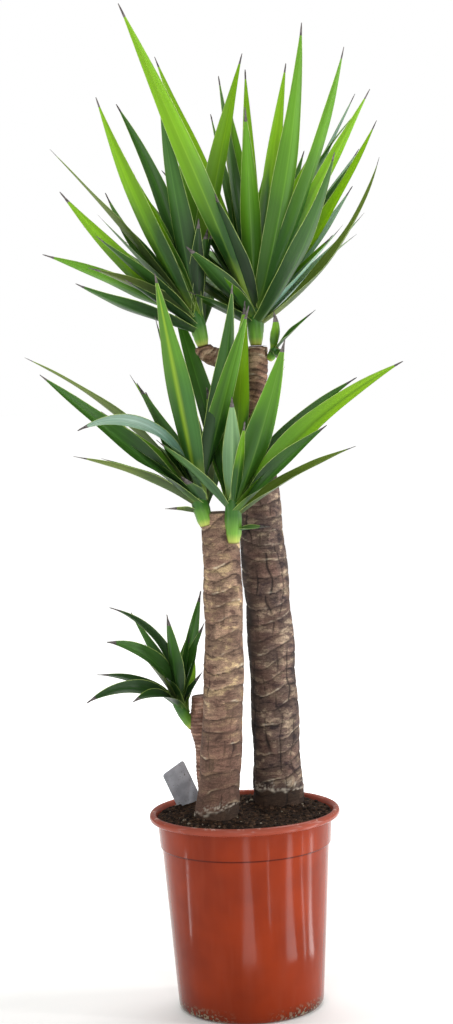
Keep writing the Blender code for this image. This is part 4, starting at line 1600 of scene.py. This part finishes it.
MID_RIGHT_LEAVES = (
    Leaf(115, 27, 8, 0.360, 0.036, 0, DA),
    Leaf(200, 39, 10, 0.155, 0.026, 20, GR),
    Leaf(70, 16, 0, 0.296, 0.040, 0, BR),
    Leaf(273, 20, 10, 0.173, 0.030, 0, PA),
    Leaf(285, 31, 0, 0.150, 0.017, 0, BR),
    Leaf(312, 32, -12, 0.263, 0.042, -30, MI),
    Leaf(337, 37, 28, 0.327, 0.035, 75, KE),
    Leaf(15, 30, 32, 0.261, 0.028, 45, DA),
    Leaf(320, 46, 13, 0.211, 0.035, 65, DA),
    Leaf(352, 51, 19, 0.199, 0.030, 25, OL),
    Leaf(30, 44, 20, 0.090, 0.028, 0, GR),
    Leaf(345, 81, 5, 0.053, 0.018, 15, GR),
)
SHORT_LEAVES = (
    Leaf(170, -6, 80, 0.178, 0.020, -35, DE),
    Leaf(140, 31, 5, 0.162, 0.030, 5, DA),
    Leaf(253, 12, 6, 0.140, 0.028, -20, DA),
    Leaf(60, 22, 4, 0.174, 0.022, 40, DA),
    Leaf(215, 15, 66, 0.165, 0.034, -60, DA),
    Leaf(183, 41, 46, 0.137, 0.026, -25, DE),
    Leaf(210, 40, 78, 0.166, 0.026, -55, DE),
    Leaf(235, 44, 60, 0.125, 0.027, -30, DE),
    Leaf(26, 32, 6, 0.063, 0.022, 0, DE),
)

# Leaves that show only as slivers between those above.
TALL_LEFT_BETWEEN = (
    Leaf(20, 38, 0, 0.160, 0.030, 0, DA),
    Leaf(350, 28, 5, 0.190, 0.032, 0, DE),
    Leaf(40, 50, 0, 0.130, 0.028, 0, DE),
    Leaf(10, 62, 10, 0.100, 0.026, 0, DA),
    Leaf(60, 20, 0, 0.240, 0.032, 0, DA),
    Leaf(160, 24, 5, 0.260, 0.032, 0, DA),
    Leaf(185, 40, 0, 0.210, 0.030, 0, GR),
    Leaf(220, 60, 0, 0.150, 0.028, 0, DE),
    Leaf(330, 45, 0, 0.170, 0.034, 0, DA),
    Leaf(300, 32, 0, 0.200, 0.034, 0, DE),
    Leaf(0, 50, 0, 0.170, 0.032, 0, MI),
    Leaf(30, 30, 0, 0.220, 0.034, 0, DA),
    Leaf(18, 26, 0, 0.240, 0.034, 20, DA),
    Leaf(355, 34, 0, 0.200, 0.032, -20, GR),
    Leaf(345, 44, 0, 0.160, 0.032, 10, DE),
    Leaf(170, 34, 6, 0.230, 0.028, 20, SH),
)
TALL_TOP_BETWEEN = (
    Leaf(190, 36, 0, 0.170, 0.032, 0, DA),
    Leaf(170, 48, 5, 0.150, 0.030, 0, DE),
    Leaf(205, 58, 8, 0.120, 0.028, 0, DA),
    Leaf(160, 26, 0, 0.240, 0.032, 0, GR),
    Leaf(200, 20, 0, 0.230, 0.034, 0, DA),
    Leaf(25, 36, 0, 0.300, 0.030, 20, SH),
    Leaf(40, 42, 0, 0.270, 0.032, 0, SH),
    Leaf(15, 52, -10, 0.230, 0.030, 0, SH),
    Leaf(0, 22, 0, 0.260, 0.034, 0, DA),
    Leaf(60, 34, 0, 0.300, 0.030, 0, DA),
    Leaf(225, 45, 10, 0.170, 0.034, 20, DA),
    Leaf(240, 30, 0, 0.200, 0.036, 0, DE),
    Leaf(180, 60, 5, 0.150, 0.030, 0, MI),
    Leaf(150, 40, 0, 0.200, 0.034, 0, DA),
    Leaf(215, 30, 0, 0.210, 0.034, 0, DA),
    Leaf(195, 24, 0, 0.220, 0.034, 10, GR),
    Leaf(178, 28, 0, 0.250, 0.034, -20, DA),
    Leaf(200, 44, 6, 0.160, 0.032, 20, MI),
    Leaf(20, 27, 0, 0.280, 0.030, 30, SH),
    Leaf(35, 56, -10, 0.220, 0.030, 0, SH),
    Leaf(340, 48, -6, 0.190, 0.028, 20, SH),
)

# Leaves that close the gap between the two boughs' crowns, where the photo shows no sky.
TALL_TOP_CLOSING = (
    Leaf(222, 46, 0, 0.130, 0.034, 0, MI),
    Leaf(138, 30, 0, 0.180, 0.034, 0, DA),
    Leaf(174, 30, 0, 0.130, 0.034, 0, GR),
    Leaf(114, 46, 0, 0.230, 0.034, 0, DA),
    Leaf(126, 38, 0, 0.180, 0.034, 0, DE),
    Leaf(162, 38, 0, 0.130, 0.034, 0, DA),
    Leaf(114, 60, 0, 0.180, 0.034, 0, MI),
    Leaf(222, 30, 0, 0.180, 0.034, 0, DE),
)
TALL_LEFT_CLOSING = (
    Leaf(336, 14, 0, 0.130, 0.034, 0, DE),
    Leaf(84, 62, 0, 0.230, 0.034, 0, DA),
    Leaf(312, 14, 0, 0.130, 0.034, 0, DA),
)

HEAD_TOP = (0.042, 0.046, 0.934)
SHOOTS = (
    Shoot(
        "shoot_tall_top", foot=(*HEAD_TOP[:2], HEAD_TOP[2] + GAP), bearing=0, lean=0, height=0.058, radius=0.0125,
        shown=TALL_TOP_LEAVES, between=TALL_TOP_BETWEEN, closing=TALL_TOP_CLOSING,
        hidden=13, away=80, reach=0.34, seed=165, filling=9, filling_seed=135
    ),
    Shoot(
        "shoot_tall_left", foot=(-0.0331, 0.034, 0.9368), bearing=200, lean=12, height=0.052, radius=0.0120,
        shown=TALL_LEFT_LEAVES, between=TALL_LEFT_BETWEEN, closing=TALL_LEFT_CLOSING,
        hidden=9, away=135, reach=0.27, seed=117, filling=8, filling_seed=46
    ),
    Shoot(
        "shoot_mid_right", foot=(-0.0005, -0.0535, 0.6645), bearing=283, lean=4.8, height=0.0666, radius=0.0125,
        shown=MID_RIGHT_LEAVES, hidden=8, away=45, reach=0.25, seed=47, filling=6, filling_seed=512
    ),
    Shoot(
        "shoot_mid_left", foot=(-0.0377, -0.0465, 0.6885), bearing=160, lean=14, height=0.0495, radius=0.0125,
        shown=MID_LEFT_LEAVES, hidden=9, away=135, reach=0.25, seed=422, filling=6, filling_seed=49
    ),
    Shoot(
        "shoot_tall_right", foot=(0.060, 0.040, 0.914), bearing=320, lean=40, height=0.022, radius=0.0070,
        shown=TALL_RIGHT_LEAVES
    ),
    Shoot(
        "shoot_short", foot=(-0.0700, 0.029, 0.3960), bearing=199, lean=29.4, height=0.0500, radius=0.0085,
        shown=SHORT_LEAVES, hidden=5, away=105, reach=0.13, seed=137, filling=4, filling_seed=4
    ),
)

TALL_BARK = BarkFinish("grey_cane_bark", "#a08c76", "#645148", "#36292a", "#150e0c", "#c6b598")
MID_BARK = BarkFinish("pink_cane_bark", "#b9a07a", "#8a705d", "#584238", "#281a15", "#d6c19a")
SHORT_BARK = BarkFinish("wrinkled_cane_bark", "#b8917a", "#9a7261", "#765548", "#4a3128", "#c9a98f")
HEAD_BARK = BarkFinish("flaking_cane_bark", "#b89b7e", "#96745c", "#6a4c3c", "#24170f", "#d2bfa2")

CANES = (
    Cane(
        # The tall cane's left side, behind the mid cane, is darkened with painted shade.
        "cane_tall", BarkRelief(place=0.3, foot_ring=0.026, crack_share=0.5, wander=0.7, lip_rise=0.0008, grime=0.9),
        TALL_BARK, foot=(0.050, 0.052), top=(0.0300, 0.052, 0.800), foot_radius=0.0345, top_radius=0.0305, bulge=0.0062
    ),
    Cane(
        "cane_mid",
        BarkRelief(place=1.1, foot_ring=0.017, foot_tilt=0.007, crack_share=0.12, wander=0.8, pink_below=0.14),
        MID_BARK, foot=(-0.039, -0.030), top=(-0.0185, -0.030, 0.706), foot_radius=0.0292, top_radius=0.0256,
        bulge=0.0078, phase=1.9
    ),
    Cane(
        "cane_short",
        BarkRelief(scar_pitch=0.0055, scar_depth=0.0009, lip_rise=0.0007, place=2.2, crack_share=0.25, wander=0.9),
        SHORT_BARK, foot=(-0.0455, 0.032), top=(-0.0500, 0.032, 0.440), foot_radius=0.0185, top_radius=0.0180,
        phase=4.1, knob=0.0075, knob_height=0.124, knob_bearing=190
    ),
)
LIMBS = (
    Limb(
        "head_tall", BarkRelief(scar_pitch=0.009, place=3.4, crack_share=0.3, chalky=0.4), HEAD_BARK,
        start=(0.031, 0.050, 0.8003), leaves=(0, 0, 1), end=HEAD_TOP, points=(0, 0, 1),
        start_radius=0.0185, end_radius=0.0155
    ),
    Limb(
        "arm_tall", BarkRelief(scar_pitch=0.008, place=4.7, crack_share=0.3), HEAD_BARK,
        start=(0.0237, 0.0470, 0.917), leaves=(-1, -0.15, 0), end=(-0.033, 0.034, 0.936), points=(-0.25, -0.1, 1),
        start_radius=0.0150, end_radius=0.0120
    ),
)


def main() -> None:
    """Builds the plant from the pot up, sets up the studio and works out the model's and the scene's bounds."""
    logging.basicConfig(level=logging.INFO, format="%(name)s: %(message)s")
    Studio().build()
    Pot().build()
    compost = Compost(tuple((*cane.foot, cane.foot_radius) for cane in CANES))
    compost.bed()
    compost.litter()
    wood = [tube.build() for tube in CANES + LIMBS]
    Crown(SHOOTS, LeafBlade(), LEAF_FINISHES).build(wood)
    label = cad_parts["tag"]
    label.data.materials.clear()
    label.data.materials.append(TagFinish().material())
    LOG.info("tag: a finish of its own")
    {key: [list(corner) for corner in box] for key, box in (("cad", CAD_BOX), ("visual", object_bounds()))}


if __name__ == "__main__":
    main()
